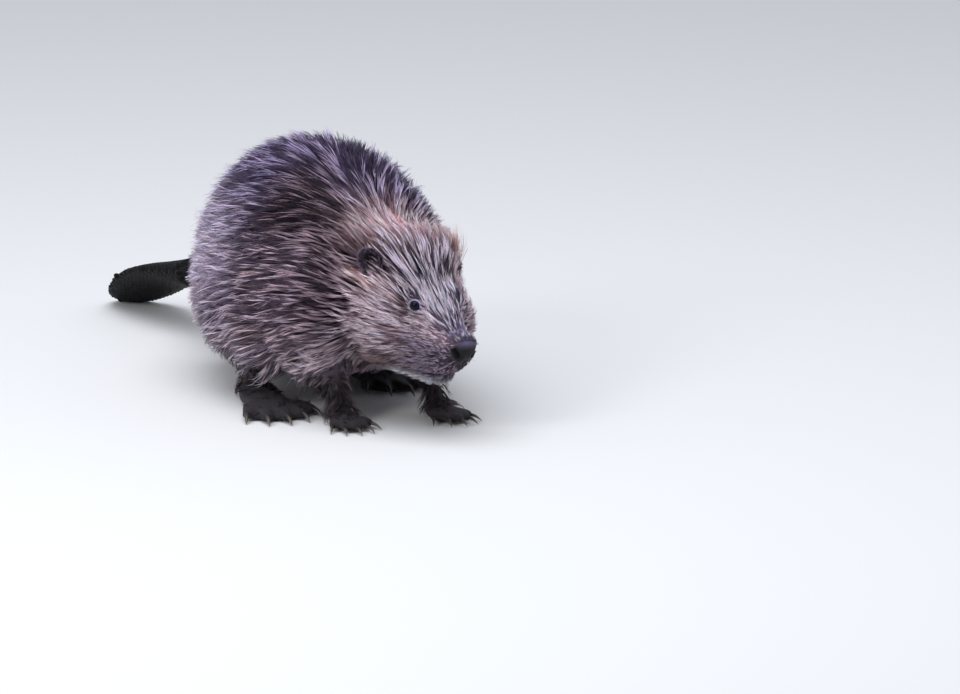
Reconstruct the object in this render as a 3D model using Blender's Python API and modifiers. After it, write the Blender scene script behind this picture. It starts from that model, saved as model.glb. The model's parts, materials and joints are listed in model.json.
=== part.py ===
"""A young Eurasian beaver standing hunched with its head low, life size, as a still display model.

Every solid is the outer form of the animal, out to the tips of its coat. The beaver faces +X, its
left is +Y and the floor is z = 0. Lengths are metres; the tables of sections are in millimetres.
The flesh is made whole, as shells that run through each other and are blended into one soft form,
and is then parted into head, neck, trunk, tail root and legs by thin cuts.
"""

import math

import bmesh
import bpy
import numpy as np
from mathutils import Matrix, Vector

MM = 0.001

# ---------------------------------------------------------------- driving sizes
GAP = 0.35 * MM  # clearance between a piece and the socket it sits in
CUT = 0.60 * MM  # width of the cuts that part the body
BODY_VOXEL = 5.0 * MM  # grain of the body's blended form
FOOT_VOXEL = 2.0 * MM  # grain of the feet
BODY_TRIANGLES = 2900
HIND_FOOT_TRIANGLES = 380
FORE_FOOT_TRIANGLES = 310
SIDES = (("left", 1), ("right", -1))

NOSE_TIP = Vector((0.297, 0.011, 0.097))  # front of the nose pad
HEAD_YAW = math.radians(1)  # the head looks a little to its left,
HEAD_PITCH = math.radians(14)  # is held low
HEAD_ROLL = math.radians(-3)  # and leans slightly over

# Sections of the trunk, from the rump to the throat: x, top z, bottom z, half width.
TRUNK_SECTIONS = (
    (-184, 120, 62, 22),
    (-178, 146, 44, 48),
    (-162, 177, 30, 70),
    (-133, 209, 22, 89),
    (-92, 238, 22, 103),
    (-45, 254, 26, 111),
    (5, 258, 30, 114),
    (55, 249, 34, 112),
    (100, 230, 40, 105),
    (135, 210, 50, 94),
    (162, 190, 66, 72),
    (182, 160, 92, 36),
)
TRUNK_WAIST = 0.37  # height of the widest level, as a share of a section
TRUNK_SQUARENESS = (2.05, 2.3)  # of the upper and the lower half

# Sections of the head in its own frame, x back from the nose: x, top z, bottom z, half width.
HEAD_SECTIONS = (
    (-4, 4, -20, 12),
    (-9, 10, -29, 15.5),
    (-20, 15, -38.5, 19.5),
    (-36, 20, -49, 25.5),
    (-54, 27, -57, 34.5),
    (-72, 35, -62, 44),
    (-95, 46, -66, 52),
    (-122, 55, -70, 60),
    (-150, 58, -70, 63),
    (-178, 50, -64, 58),
    (-196, 30, -50, 40),
)
HEAD_WAIST = 0.42
HEAD_SQUARENESS = (2.05, 2.5)

# Sections of the tail along its centre line: x, z, half width, half thickness.
TAIL_SECTIONS = (
    (-165, 96, 42, 40),
    (-200, 87, 38, 32),
    (-235, 78, 31, 25),
    (-268, 70, 26, 19),
    (-300, 64, 26, 15),
    (-335, 57, 32, 11.5),
    (-370, 49, 37, 9.5),
    (-405, 38, 39, 8),
    (-440, 22, 35, 7),
    (-468, 9, 25, 5.5),
    (-484, 4, 12, 4),
)
TAIL_ROLL = math.radians(-14)  # the paddle lies with its left edge down
TAIL_JOIN = -0.292  # where fur gives way to the scaly paddle

EYE_PLACE = Vector((-0.0625, 0.0282, 0.0192))  # in the head's frame, on its left
EYE_RADIUS = 5.6 * MM
NOSE_PLACE = (-0.0125, 0.0, -0.0022)
NOSE_RADII = (0.0125, 0.0160, 0.0155)
# In the head's frame; the right ear is pricked, the left one is folded back into the fur.
EAR_PLACE = {"left": Vector((-0.1370, 0.0520, 0.0230)), "right": Vector((-0.1250, -0.0475, 0.0400))}
EAR_TURN = {"left": 80, "right": -42}  # degrees that the open face is turned out
EAR_LEAN = {"left": -30, "right": 24}  # degrees that the flap leans out
EAR_RADII = (0.0070, 0.0130, 0.0155)  # depth, half width and half height of the flap
EAR_WALL = 3.0 * MM

CLAW_TIP_HEIGHT = 1.2 * MM
FORE_FOOT_PLACE = {"left": (0.158, 0.046, 5), "right": (0.148, -0.053, -6)}  # heel x, y, turn
HIND_FOOT_PLACE = {"left": (-0.066, 0.067, 0), "right": (0.004, -0.081, -9)}


# ---------------------------------------------------------------- helpers
def clear_scene():
    for obj in list(bpy.data.objects):
        bpy.data.objects.remove(obj)


def new_collection(name, hidden=False):
    made = bpy.data.collections.new(name)
    made.hide_render = hidden
    bpy.context.scene.collection.children.link(made)
    return made


def add_object(name, mesh, collection):
    obj = bpy.data.objects.new(name, mesh)
    collection.objects.link(obj)
    return obj


def add_guide(name, data):
    """A helper that shapes other pieces and isn't one itself."""
    guide = add_object(name, data, GUIDES)
    guide.hide_render = True
    guide.display_type = "WIRE"
    return guide


def evaluated_mesh(obj):
    bpy.context.view_layer.update()
    graph = bpy.context.evaluated_depsgraph_get()
    return bpy.data.meshes.new_from_object(obj.evaluated_get(graph), depsgraph=graph)


def finished(guide):
    """The mesh a guide's modifiers give, after which the guide is removed."""
    mesh = evaluated_mesh(guide)
    bpy.data.objects.remove(guide)
    return mesh


def mesh_of(bm, name):
    bmesh.ops.recalc_face_normals(bm, faces=bm.faces)
    mesh = bpy.data.meshes.new(name)
    bm.to_mesh(mesh)
    bm.free()
    return mesh


def joined(name, meshes):
    """One mesh that holds several closed shells, which may run through each other."""
    bm = bmesh.new()
    for mesh in meshes:
        bm.from_mesh(mesh)
    mesh = bpy.data.meshes.new(name)
    bm.to_mesh(mesh)
    bm.free()
    return mesh


def placed(mesh, matrix):
    mesh.transform(matrix)
    return mesh


def smooth_stations(table, count):
    """A small table of sections made `count` rows long by a Catmull-Rom curve through its rows."""
    rows = np.array(table, float)
    padded = np.vstack([2 * rows[0] - rows[1], rows, 2 * rows[-1] - rows[-2]])
    at = np.linspace(0, len(rows) - 1, count)
    i = np.minimum(at.astype(int), len(rows) - 2)
    t = (at - i)[:, None]
    a, b, c, d = (padded[i + k] for k in range(4))
    return 0.5 * (2 * b + (c - a) * t + (2 * a - 5 * b + 4 * c - d) * t**2
                  + (3 * b - a - 3 * c + d) * t**3)


def loft(name, rings):
    """A closed tube through rings of points, from first to last, with its ends filled."""
    rings = np.asarray(rings, float)
    count, sides, _ = rings.shape
    bm = bmesh.new()
    grid = [[bm.verts.new(p) for p in ring] for ring in rings]
    for a, b in zip(grid, grid[1:]):
        for j in range(sides):
            k = (j + 1) % sides
            bm.faces.new((a[j], a[k], b[k], b[j]))
    bm.faces.new(grid[0])
    bm.faces.new(grid[-1])
    return mesh_of(bm, name)


def superellipse(sides, squareness):
    """Points round a unit superellipse whose upper and lower halves have their own squareness."""
    turn = np.arange(sides) / sides * 2 * math.pi
    power = 2 / np.where(np.sin(turn) > 0, *squareness)
    across = np.sign(np.cos(turn)) * np.abs(np.cos(turn)) ** power
    upward = np.sign(np.sin(turn)) * np.abs(np.sin(turn)) ** power
    return across, upward


def section_rings(sections, waist, squareness, count, sides):
    """Rings in the y-z plane: superellipses whose upper and lower halves have their own heights."""
    rows = smooth_stations(sections, count) * MM
    across, upward = superellipse(sides, squareness)
    x, top, bottom, half = (column[:, None] for column in rows.T)
    middle = bottom + waist * (top - bottom)
    height = np.where(upward > 0, top - middle, middle - bottom)
    return np.stack([x + 0 * upward, half * across, middle + height * upward], axis=2)


def tail_rings(count, sides):
    """Rings square to the tail's bending centre line, rolled more and more towards its tip."""
    rows = smooth_stations(TAIL_SECTIONS, count) * MM
    across, upward = superellipse(sides, (2.0, 2.0))
    x, z, half, thick = (column[:, None] for column in rows.T)
    run = np.gradient(rows[:, :2], axis=0)
    run /= np.linalg.norm(run, axis=1)[:, None]
    share = np.clip((TAIL_SECTIONS[1][0] * MM - x) / 0.16, 0, 1)
    roll = TAIL_ROLL * share
    side = half * across * np.cos(roll) - thick * upward * np.sin(roll)
    lift = half * across * np.sin(roll) + thick * upward * np.cos(roll)
    return np.stack([x + lift * run[:, 1:2], side, z - lift * run[:, 0:1]], axis=2)


def ellipsoid(centre, radii, turn=(0, 0, 0), segments=24, rings=14):
    """A ball stretched to three radii, turned by degrees about x, y and z, at a centre."""
    bm = bmesh.new()
    bmesh.ops.create_uvsphere(bm, u_segments=segments, v_segments=rings, radius=1)
    turned = Matrix.Identity(4)
    for degrees, axis in zip(turn, "XYZ"):
        turned = Matrix.Rotation(math.radians(degrees), 4, axis) @ turned
    stretch = Matrix.Diagonal((*radii, 1))
    bmesh.ops.transform(bm, matrix=Matrix.Translation(centre) @ turned @ stretch, verts=bm.verts)
    return mesh_of(bm, "ellipsoid")


def limb(points, radii, steps=5, resolution=4):
    """A tapering round limb: a curve through the points with a bevel, made a closed mesh."""
    curve = bpy.data.curves.new("limb", "CURVE")
    curve.dimensions = "3D"
    curve.bevel_depth = 1.0
    curve.bevel_resolution = resolution
    curve.use_fill_caps = True
    spline = curve.splines.new("POLY")
    rows = smooth_stations([(*p, r) for p, r in zip(points, radii)], (len(points) - 1) * steps + 1)
    spline.points.add(len(rows) - 1)
    for point, (x, y, z, radius) in zip(spline.points, rows):
        point.co = (x, y, z, 1)
        point.radius = radius
    bm = bmesh.new()
    bm.from_mesh(finished(add_guide("limb_curve", curve)))
    bmesh.ops.remove_doubles(bm, verts=bm.verts, dist=1e-5)
    return mesh_of(bm, "limb")


def blended(name, meshes, voxel, smoothing, triangles):
    """Shells that run through each other made one soft form of about so many triangles."""
    guide = add_guide(name + "_form", joined(name, meshes))
    remesh = guide.modifiers.new("blend", "REMESH")
    remesh.mode = "VOXEL"
    remesh.voxel_size = voxel
    smooth = guide.modifiers.new("soften", "SMOOTH")
    smooth.factor = 0.5
    smooth.iterations = smoothing
    fine = evaluated_mesh(guide)
    count = sum(len(p.vertices) - 2 for p in fine.polygons)
    thin = guide.modifiers.new("thin_out", "DECIMATE")
    thin.ratio = min(1.0, triangles / count)
    thin.use_collapse_triangulate = True
    return finished(guide)


def combined(mesh, operation, other):
    """A mesh after a Boolean with another."""
    guide = add_guide("body_of_cut", mesh)
    cutter = add_guide("cutter", other)
    modifier = guide.modifiers.new(operation.lower(), "BOOLEAN")
    modifier.operation = operation
    modifier.object = cutter
    made = finished(guide)
    bpy.data.objects.remove(cutter)
    return made


def swollen(mesh, by):
    """A copy of a closed mesh grown outwards by a distance, to cut its neighbour with a gap."""
    guide = add_guide("swollen", mesh.copy())
    grow = guide.modifiers.new("grow", "DISPLACE")
    grow.strength = by
    grow.mid_level = 0.0
    return finished(guide)


def socketed(mesh, pieces):
    """A mesh with a close socket cut in it for each piece that sits in it."""
    for piece in pieces:
        mesh = combined(mesh, "DIFFERENCE", swollen(piece, GAP))
    return mesh


def half(mesh, point, normal):
    """What lies on the side of a plane that its normal points to, closed, half a cut back."""
    normal = Vector(normal).normalized()
    bm = bmesh.new()
    bm.from_mesh(mesh)
    bmesh.ops.bisect_plane(bm, geom=bm.verts[:] + bm.edges[:] + bm.faces[:], dist=1e-6,
                           plane_co=Vector(point) + normal * CUT / 2, plane_no=normal,
                           clear_inner=True)
    rim = [edge for edge in bm.edges if edge.is_boundary]
    bmesh.ops.holes_fill(bm, edges=rim, sides=0)
    bmesh.ops.triangulate(bm, faces=[f for f in bm.faces if len(f.verts) > 4])
    return mesh_of(bm, "half")


def prism(outline, side, inner, outer):
    """An outline in the x-z plane made solid from one distance beside the midline to another."""
    bm = bmesh.new()
    face = bm.faces.new([bm.verts.new((x * MM, side * inner * MM, z * MM)) for x, z in outline])
    made = bmesh.ops.extrude_face_region(bm, geom=[face])
    moved = [item for item in made["geom"] if isinstance(item, bmesh.types.BMVert)]
    bmesh.ops.translate(bm, vec=(0, side * (outer - inner) * MM, 0), verts=moved)
    return mesh_of(bm, "prism")


def above_floor(mesh):
    """A mesh cut flat at the floor."""
    half_size = 0.5
    bm = bmesh.new()
    bmesh.ops.create_cube(bm, size=2 * half_size)
    bmesh.ops.translate(bm, vec=(0, 0, -half_size), verts=bm.verts)
    return combined(mesh, "DIFFERENCE", mesh_of(bm, "floor_cut"))


def material(name, colour, roughness):
    made = bpy.data.materials.new(name)
    made.use_nodes = True
    shader = made.node_tree.nodes["Principled BSDF"]
    shader.inputs["Base Color"].default_value = (*colour, 1)
    shader.inputs["Roughness"].default_value = roughness
    shader.inputs["Metallic"].default_value = 0.0
    return made


# ---------------------------------------------------------------- the head
HEAD_FRAME = (
    Matrix.Translation(NOSE_TIP)
    @ Matrix.Rotation(HEAD_YAW, 4, "Z")
    @ Matrix.Rotation(HEAD_PITCH, 4, "Y")
    @ Matrix.Rotation(HEAD_ROLL, 4, "X")
)


def head_masses():
    """The head's loft with cheeks, whisker pads, brows, chin and the thick fur of the crown."""
    masses = [loft("head", section_rings(HEAD_SECTIONS, HEAD_WAIST, HEAD_SQUARENESS, 34, 28))]
    for _, side in SIDES:
        masses += [
            ellipsoid((-0.104, side * 0.034, -0.018), (0.042, 0.029, 0.038)),
            ellipsoid((-0.031, side * 0.0125, -0.0185), (0.020, 0.0115, 0.0150)),
            ellipsoid((-0.070, side * 0.0235, 0.0290), (0.018, 0.010, 0.007), (0, 16, side * 18)),
        ]
    masses.append(ellipsoid((-0.048, 0, -0.041), (0.025, 0.020, 0.0160)))
    masses.append(ellipsoid((-0.152, 0, 0.028), (0.046, 0.061, 0.042)))
    return [placed(mesh, HEAD_FRAME) for mesh in masses]


def eye(side):
    place = Vector((EYE_PLACE.x, side * EYE_PLACE.y, EYE_PLACE.z))
    return placed(ellipsoid(place, (EYE_RADIUS,) * 3, segments=12, rings=8), HEAD_FRAME)


def nose():
    return placed(ellipsoid(NOSE_PLACE, NOSE_RADII, segments=12, rings=8), HEAD_FRAME)


def ear(side_name):
    """A thick round flap, hollowed on the face that it turns forward and out."""
    depth, width, height = EAR_RADII
    flap = ellipsoid((0, 0, 0), EAR_RADII, segments=12, rings=7)
    hollow = ellipsoid((depth * 0.75, 0, 0.001),
                       (depth * 1.05, width - EAR_WALL, height - EAR_WALL), segments=10, rings=7)
    shell = combined(flap, "DIFFERENCE", hollow)
    turn = Matrix.Rotation(math.radians(EAR_TURN[side_name]), 4, "Z")
    lean = Matrix.Rotation(math.radians(EAR_LEAN[side_name]), 4, "X")
    back = Matrix.Rotation(math.radians(-8), 4, "Y")
    place = Matrix.Translation(EAR_PLACE[side_name])
    return placed(shell, HEAD_FRAME @ place @ lean @ turn @ back)


# ---------------------------------------------------------------- the feet
def foot_frame(places, side_name):
    x, y, turn = places[side_name]
    return Matrix.Translation((x, y, 0)) @ Matrix.Rotation(math.radians(turn), 4, "Z")


def claw(toe_tip, heading, length, radius):
    """A curved horny cone that grows from a toe's tip, bends down and ends just off the floor."""
    rows = 4
    sides = 5
    start = Vector(toe_tip)
    forward = Vector((math.cos(heading), math.sin(heading), 0))
    across = Vector((-forward.y, forward.x, 0))
    turn = np.arange(sides) / sides * 2 * math.pi
    rings = []
    for t in np.linspace(0, 1, rows):
        drop = (start.z - CLAW_TIP_HEIGHT) * t**2
        centre = start + forward * length * t - Vector((0, 0, drop))
        size = radius * (1 - 0.88 * t**1.3)
        ring = [centre + across * size * 0.8 * math.cos(a) + Vector((0, 0, size * math.sin(a)))
                for a in turn]
        rings.append([tuple(p) for p in ring])
    return loft("claw", rings)


def toes_of(roots, tips):
    """Each toe's root, middle and tip, the middle raised as a knuckle."""
    for (x0, y0, z0), (x1, y1, z1) in zip(roots, tips):
        yield (x0, y0, z0), ((x0 + x1) / 2, (y0 + y1) / 2, (z0 + z1) / 2 + 0.0022), (x1, y1, z1)


def hind_foot(side):
    """Long sole on the floor, five spread toes and the web between them; returns flesh, claws."""
    roots = [(0.066, side * y, 0.0085) for y in (-0.022, -0.011, 0.0, 0.011, 0.021)]
    tips = [(0.099, side * -0.036, 0.0062), (0.117, side * -0.020, 0.0062),
            (0.126, side * -0.001, 0.0062), (0.123, side * 0.019, 0.0062),
            (0.108, side * 0.036, 0.0062)]
    masses = [
        ellipsoid((0.006, 0, 0.016), (0.019, 0.016, 0.019)),
        ellipsoid((0.040, 0, 0.009), (0.050, 0.022, 0.014)),
        ellipsoid((0.072, 0, 0.007), (0.020, 0.029, 0.010)),
        limb([(0.002, 0, 0.052), (0.000, 0, 0.034), (0.010, 0, 0.016)], (0.017, 0.016, 0.015)),
        ellipsoid((0.092, 0, 0.0035), (0.026, 0.035, 0.0030)),
    ]
    claws = []
    for root, middle, tip in toes_of(roots, tips):
        masses.append(limb([root, middle, tip], (0.0072, 0.0066, 0.0052), 4, 3))
        heading = math.atan2(tip[1] - root[1], tip[0] - root[0])
        claws.append(claw(tip, heading, 0.0135, 0.0036))
    flesh = blended("hind_foot", masses, FOOT_VOXEL, 3, HIND_FOOT_TRIANGLES)
    return flesh, claws


def fore_foot(side):
    """A small hand-like paw with five toes; returns its flesh and its claws."""
    roots = [(x, side * y, 0.0070) for x, y in
             ((0.022, -0.0125), (0.030, -0.0075), (0.032, 0.0), (0.030, 0.0075), (0.022, 0.0125))]
    tips = [(0.036, side * -0.0215, 0.0048), (0.049, side * -0.0125, 0.0050),
            (0.054, side * -0.0005, 0.0050), (0.050, side * 0.0115, 0.0050),
            (0.038, side * 0.0205, 0.0048)]
    masses = [
        ellipsoid((0.012, 0, 0.010), (0.021, 0.0150, 0.0125)),
        ellipsoid((0.026, 0, 0.007), (0.013, 0.0175, 0.0085)),
        limb([(-0.006, 0, 0.040), (0.000, 0, 0.026), (0.010, 0, 0.012)], (0.0135, 0.0125, 0.0125)),
    ]
    claws = []
    for root, middle, tip in toes_of(roots, tips):
        masses.append(limb([root, middle, tip], (0.0056, 0.0050, 0.0041), 4, 3))
        heading = math.atan2(tip[1] - root[1], tip[0] - root[0])
        claws.append(claw(tip, heading, 0.0125, 0.0027))
    flesh = blended("fore_foot", masses, FOOT_VOXEL, 3, FORE_FOOT_TRIANGLES)
    return flesh, claws


# ---------------------------------------------------------------- the body
def leg_masses():
    """Shoulders, forearms, thighs and shanks down to the wrists and heels."""
    masses = []
    for name, side in SIDES:
        wrist_x, wrist_y, _ = FORE_FOOT_PLACE[name]
        heel_x, heel_y, _ = HIND_FOOT_PLACE[name]
        masses += [
            ellipsoid((0.106, side * 0.062, 0.105), (0.050, 0.040, 0.058), (0, -12, 0)),
            limb([(0.092, side * 0.066, 0.100), (0.098, side * 0.066, 0.068),
                  ((wrist_x + 0.098) / 2, (wrist_y + side * 0.066) / 2, 0.050),
                  (wrist_x - 0.004, wrist_y, 0.030)],
                 (0.038, 0.031, 0.022, 0.016)),
            ellipsoid((-0.030, side * 0.076, 0.098), (0.084, 0.046, 0.070), (0, 16, 0)),
            limb([(0.030, side * 0.084, 0.092), (heel_x + 0.048, side * 0.088, 0.066),
                  (heel_x + 0.020, heel_y, 0.050), (heel_x + 0.002, heel_y, 0.036)],
                 (0.042, 0.036, 0.025, 0.018)),
        ]
    return masses


def body_form():
    trunk = loft("trunk", section_rings(TRUNK_SECTIONS, TRUNK_WAIST, TRUNK_SQUARENESS, 40, 36))
    neck = ellipsoid((0.148, 0.004, 0.128), (0.052, 0.072, 0.060), (0, 22, 0))
    tail = loft("tail", tail_rings(26, 14))
    root = half(tail, (TAIL_JOIN, 0, 0), (1, 0, 0))
    masses = [trunk, neck, root] + head_masses() + leg_masses()
    body = blended("body", masses, BODY_VOXEL, 7, BODY_TRIANGLES)
    return body, tail


HEAD_PLANE = (Vector((0.150, 0, 0.150)), Vector((0.90, 0, 0.38)))
NECK_PLANE = (Vector((0.117, 0, 0.150)), Vector((0.84, 0, 0.50)))
TAIL_PLANE = (Vector((-0.190, 0, 0.090)), Vector((-0.96, 0, 0.25)))
# Each leg's region seen from the side is an arch: middle x, springing z, half width and rise.
FORE_LEG_ARCH = (125, 56, 64, 74)
HIND_LEG_ARCH = (-22, 66, 84, 88)
FORE_LEG_INNER = 24  # how far from the midline a leg's region begins
HIND_LEG_INNER = 40
LEG_OUTER = 160


def arch(middle, springing, half_width, rise, steps=10):
    """An outline that stands on the floor and is closed by half an ellipse above."""
    turn = np.linspace(math.pi, 0, steps)
    top = [(middle + half_width * math.cos(a), springing + rise * math.sin(a)) for a in turn]
    below = -10
    return [(middle - half_width, below), *top, (middle + half_width, below)]


def parted(body):
    """The body's nodes, by name."""
    def split(mesh, plane):
        point, normal = plane
        return half(mesh, point, normal), half(mesh, point, -normal)

    nodes = {}
    nodes["head"], rest = split(body, HEAD_PLANE)
    nodes["neck"], rest = split(rest, NECK_PLANE)
    nodes["tail_root"], rest = split(rest, TAIL_PLANE)
    for name, side in SIDES:
        for part, outline, inner in (("fore_leg", FORE_LEG_ARCH, FORE_LEG_INNER),
                                     ("hind_leg", HIND_LEG_ARCH, HIND_LEG_INNER)):
            region = prism(arch(*outline), side, inner, LEG_OUTER)
            nodes[f"{name}_{part}"] = combined(rest, "INTERSECT", region)
            rest = combined(rest, "DIFFERENCE", swollen(region, CUT))
    nodes["trunk"] = rest
    return nodes


def build():
    body, tail = body_form()
    nodes = parted(body)
    nodes["tail_paddle"] = above_floor(half(tail, (TAIL_JOIN, 0, 0), (-1, 0, 0)))
    for name, side in SIDES:
        nodes[f"{name}_eye"] = eye(side)
    nodes["nose"] = nose()
    nodes["head"] = socketed(nodes["head"], [nodes["left_eye"], nodes["right_eye"], nodes["nose"]])
    for name, side in SIDES:
        nodes[f"{name}_ear"] = combined(ear(name), "DIFFERENCE", swollen(nodes["head"], GAP))
        for part, make, places in (("fore", fore_foot, FORE_FOOT_PLACE),
                                   ("hind", hind_foot, HIND_FOOT_PLACE)):
            frame = foot_frame(places, name)
            flesh, claws = make(side)
            flesh = above_floor(placed(flesh, frame))
            claws = [placed(each, frame) for each in claws]
            leg = f"{name}_{part}_leg"
            nodes[leg] = combined(nodes[leg], "DIFFERENCE", swollen(flesh, GAP))
            nodes[f"{name}_{part}_foot"] = socketed(flesh, claws)
            for number, each in enumerate(claws, 1):
                nodes[f"{name}_{part}_claw_{number}"] = each
    return nodes


def stand_on_origin(collection):
    """Hang every object on an empty that puts the middle of the underside at the origin."""
    points = np.vstack([[tuple(v.co) for v in obj.data.vertices] for obj in collection.objects])
    low, high = points.min(axis=0), points.max(axis=0)
    middle = Vector(((low[0] + high[0]) / 2, (low[1] + high[1]) / 2, low[2]))
    holder = bpy.data.objects.new("beaver_origin", None)
    pieces = list(collection.objects)
    collection.objects.link(holder)
    holder.location = -middle
    for obj in pieces:
        obj.parent = holder
    bpy.context.view_layer.update()
    print("moved by", tuple(round(value, 5) for value in holder.location))


def main():
    global GUIDES
    clear_scene()
    beaver = new_collection("beaver")
    GUIDES = new_collection("guides", hidden=True)
    nodes = build()
    fur = material("dark_brown_fur", (0.085, 0.062, 0.055), 0.7)
    face_fur = material("tan_fur", (0.20, 0.135, 0.10), 0.7)
    hide = material("black_scaly_hide", (0.018, 0.017, 0.020), 0.45)
    paw = material("dark_foot_skin", (0.035, 0.030, 0.030), 0.6)
    horn = material("claw_horn", (0.10, 0.075, 0.055), 0.4)
    eyeball = material("dark_eye", (0.012, 0.008, 0.007), 0.05)
    looks = {"head": face_fur, "ear": fur, "eye": eyeball, "nose": paw, "foot": paw, "claw": horn,
             "paddle": hide}
    for name, mesh in nodes.items():
        obj = add_object(name, mesh, beaver)
        look = next((made for word, made in looks.items() if word in name), fur)
        mesh.materials.clear()
        mesh.materials.append(look)
        mesh.shade_smooth()
    stand_on_origin(beaver)


main()
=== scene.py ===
# %% [markdown]
# # A young beaver, life size
# This lesson dresses a plain solid beaver. One skin is grown from the solids and sunk by the depth
# of the coat, and locks of solid hair stand on it. Eyes, lids, ears, claws, whiskers and the scales
# of the tail are surfaces worked out with numpy. The solids stay where they are and only guide them.

# %% Load the frame
import bpy
import bmesh
import json
import math
import numpy as np
from mathutils import Matrix, Vector

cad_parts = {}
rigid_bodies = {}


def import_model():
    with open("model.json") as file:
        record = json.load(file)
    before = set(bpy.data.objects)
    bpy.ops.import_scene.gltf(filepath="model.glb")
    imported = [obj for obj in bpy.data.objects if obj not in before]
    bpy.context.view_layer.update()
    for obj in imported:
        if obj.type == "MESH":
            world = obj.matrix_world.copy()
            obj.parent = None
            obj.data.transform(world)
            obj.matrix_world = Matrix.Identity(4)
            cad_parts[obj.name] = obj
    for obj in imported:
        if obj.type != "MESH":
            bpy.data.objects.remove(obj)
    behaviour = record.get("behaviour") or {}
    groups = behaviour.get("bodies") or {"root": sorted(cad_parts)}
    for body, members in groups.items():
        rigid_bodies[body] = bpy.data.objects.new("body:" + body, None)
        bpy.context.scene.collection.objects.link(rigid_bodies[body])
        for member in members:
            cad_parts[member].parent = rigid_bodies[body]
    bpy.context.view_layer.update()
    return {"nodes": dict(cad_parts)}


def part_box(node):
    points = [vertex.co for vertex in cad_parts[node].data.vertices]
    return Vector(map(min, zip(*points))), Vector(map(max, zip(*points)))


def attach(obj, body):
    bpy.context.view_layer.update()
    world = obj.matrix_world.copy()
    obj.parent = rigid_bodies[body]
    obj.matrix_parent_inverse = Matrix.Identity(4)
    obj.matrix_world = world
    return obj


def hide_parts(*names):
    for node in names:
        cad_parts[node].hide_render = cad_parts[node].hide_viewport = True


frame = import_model()
MM = 0.001
SIDES = ("left", "right")
chance = np.random.default_rng(11)

# %% [markdown]
# ## A frame for the head
# A hunched beaver drops its head and turns it a little, so the head doesn't line up with the room.
# Everything on it is measured in the head's own frame: forward, to its left and up, in millimetres
# from the front of the nose. The eyes and the nose of the solids fix that frame. Fixed numbers in
# the room's frame would do as well, but they would be lost if the solids were ever moved.

# %% The frames of the head and the trunk
NOSE_AHEAD, NOSE_BELOW = 50.5, 23.7  # mm from between the eyes to the middle of the nose
TIP_AHEAD, TIP_ABOVE = 12.0, 4.5  # mm from the middle of the nose to its tip
NOSE_FROM_TRUNK = (0.297, 0.011, 0.097)  # metres from the trunk's middle, on the floor, to the tip


def middle(node):
    """The middle of the box round a solid."""
    low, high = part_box(node)
    return np.array((low + high) / 2)


def unit(v):
    """Vectors made one long."""
    return v / np.maximum(np.linalg.norm(v, axis=-1, keepdims=True), 1e-12)


eye_mid = {side: middle(side + "_eye") for side in SIDES}
nose_mid = middle("nose")
leftward = unit(eye_mid["left"] - eye_mid["right"])
to_nose = unit(nose_mid - (eye_mid["left"] + eye_mid["right"]) / 2)
rising = np.cross(to_nose, leftward)
slope = math.atan2(NOSE_BELOW, NOSE_AHEAD)
forward = math.cos(slope) * to_nose + math.sin(slope) * rising
upward = np.cross(forward, leftward)
HEAD = np.array([forward, leftward, upward])
nose_tip = nose_mid + (TIP_AHEAD * forward + TIP_ABOVE * upward) * MM
trunk_mid = nose_tip - np.array(NOSE_FROM_TRUNK)


def head_mm(points):
    """Points in the head's frame: forward, left and up from the nose tip, in millimetres."""
    return (points - nose_tip) @ HEAD.T / MM


def from_head(points):
    """Points of the head's frame, in millimetres, back in the room's frame."""
    return nose_tip + np.asarray(points, float) * MM @ HEAD


def trunk_mm(points):
    """Points from the middle of the trunk on the floor, in millimetres."""
    return (points - trunk_mid) / MM


print("head looks along", forward.round(3), "nose tip at", nose_tip.round(4))

# %% [markdown]
# ## Where the body changes
# Hair ends at the wrists and heels and where the flat of the tail begins. These borders are soft on
# the animal, so each is a share that runs smoothly from 0 to 1. The skin, the colours and the coat
# all ask the same shares, and so they change at the same place. Vertex groups painted by hand could
# hold them too, but only for one mesh, and here three different meshes need them.

# %% Feet, legs and tail
FEET = ("left_fore_foot", "right_fore_foot", "left_hind_foot", "right_hind_foot")
FUR_END = 0.292  # metres behind the trunk's middle, where fur gives way to scales
foot_mid = {name: middle(name) for name in FEET}
tail_start = trunk_mid[0] - FUR_END


def step(x, low, high):
    """0 below low, 1 above high, and between them the smooth cubic 3t^2 - 2t^3."""
    t = np.clip((x - low) / (high - low), 0, 1)
    return t * t * (3 - 2 * t)


def leg_share(points):
    """1 low on the legs, 0 on the body: how near a point is to a foot's upright line, and low."""
    p = trunk_mm(points)
    near = np.zeros(len(points))
    for name, mid in foot_mid.items():
        low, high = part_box(name)
        reach = (np.array(high - low) / 2)[:2] + 0.006
        away = np.max(np.abs(points[:, :2] - mid[:2]) / reach, axis=1)
        near = np.maximum(near, 1 - step(away, 0.95, 1.25))
    return near * (1 - step(p[:, 2], 34, 56))


def foot_share(points):
    """1 on the bare feet, 0 above the wrists and heels."""
    return leg_share(points) * (1 - step(points[:, 2] / MM, 9, 20))


def tail_share(points):
    """1 on the scaly paddle, 0 on the furred root."""
    return step(-(points[:, 0] - tail_start) / MM, -9, 7)


print("the scales start", round(float(tail_start - nose_tip[0]), 3), "m from the nose tip")

# %% [markdown]
# ## How deep the coat is
# A beaver wears dense wool under long guard hair. The coat is deepest on the back and gets shorter
# towards the nose, the feet and the tail. One function of place gives the depth, so that the skin
# can be sunk by just as much as the hair will add. Its list goes from large places to small ones,
# and each entry is laid over those before it.

# %% Depth of the coat
EYE_PLACE = (-59.5, 26.9, 20.0)  # in the head's frame, mirrored to both sides
EAR_PLACE = {"left": (-140.0, 52.0, 18.0), "right": (-125.5, -46.0, 42.5)}


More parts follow.
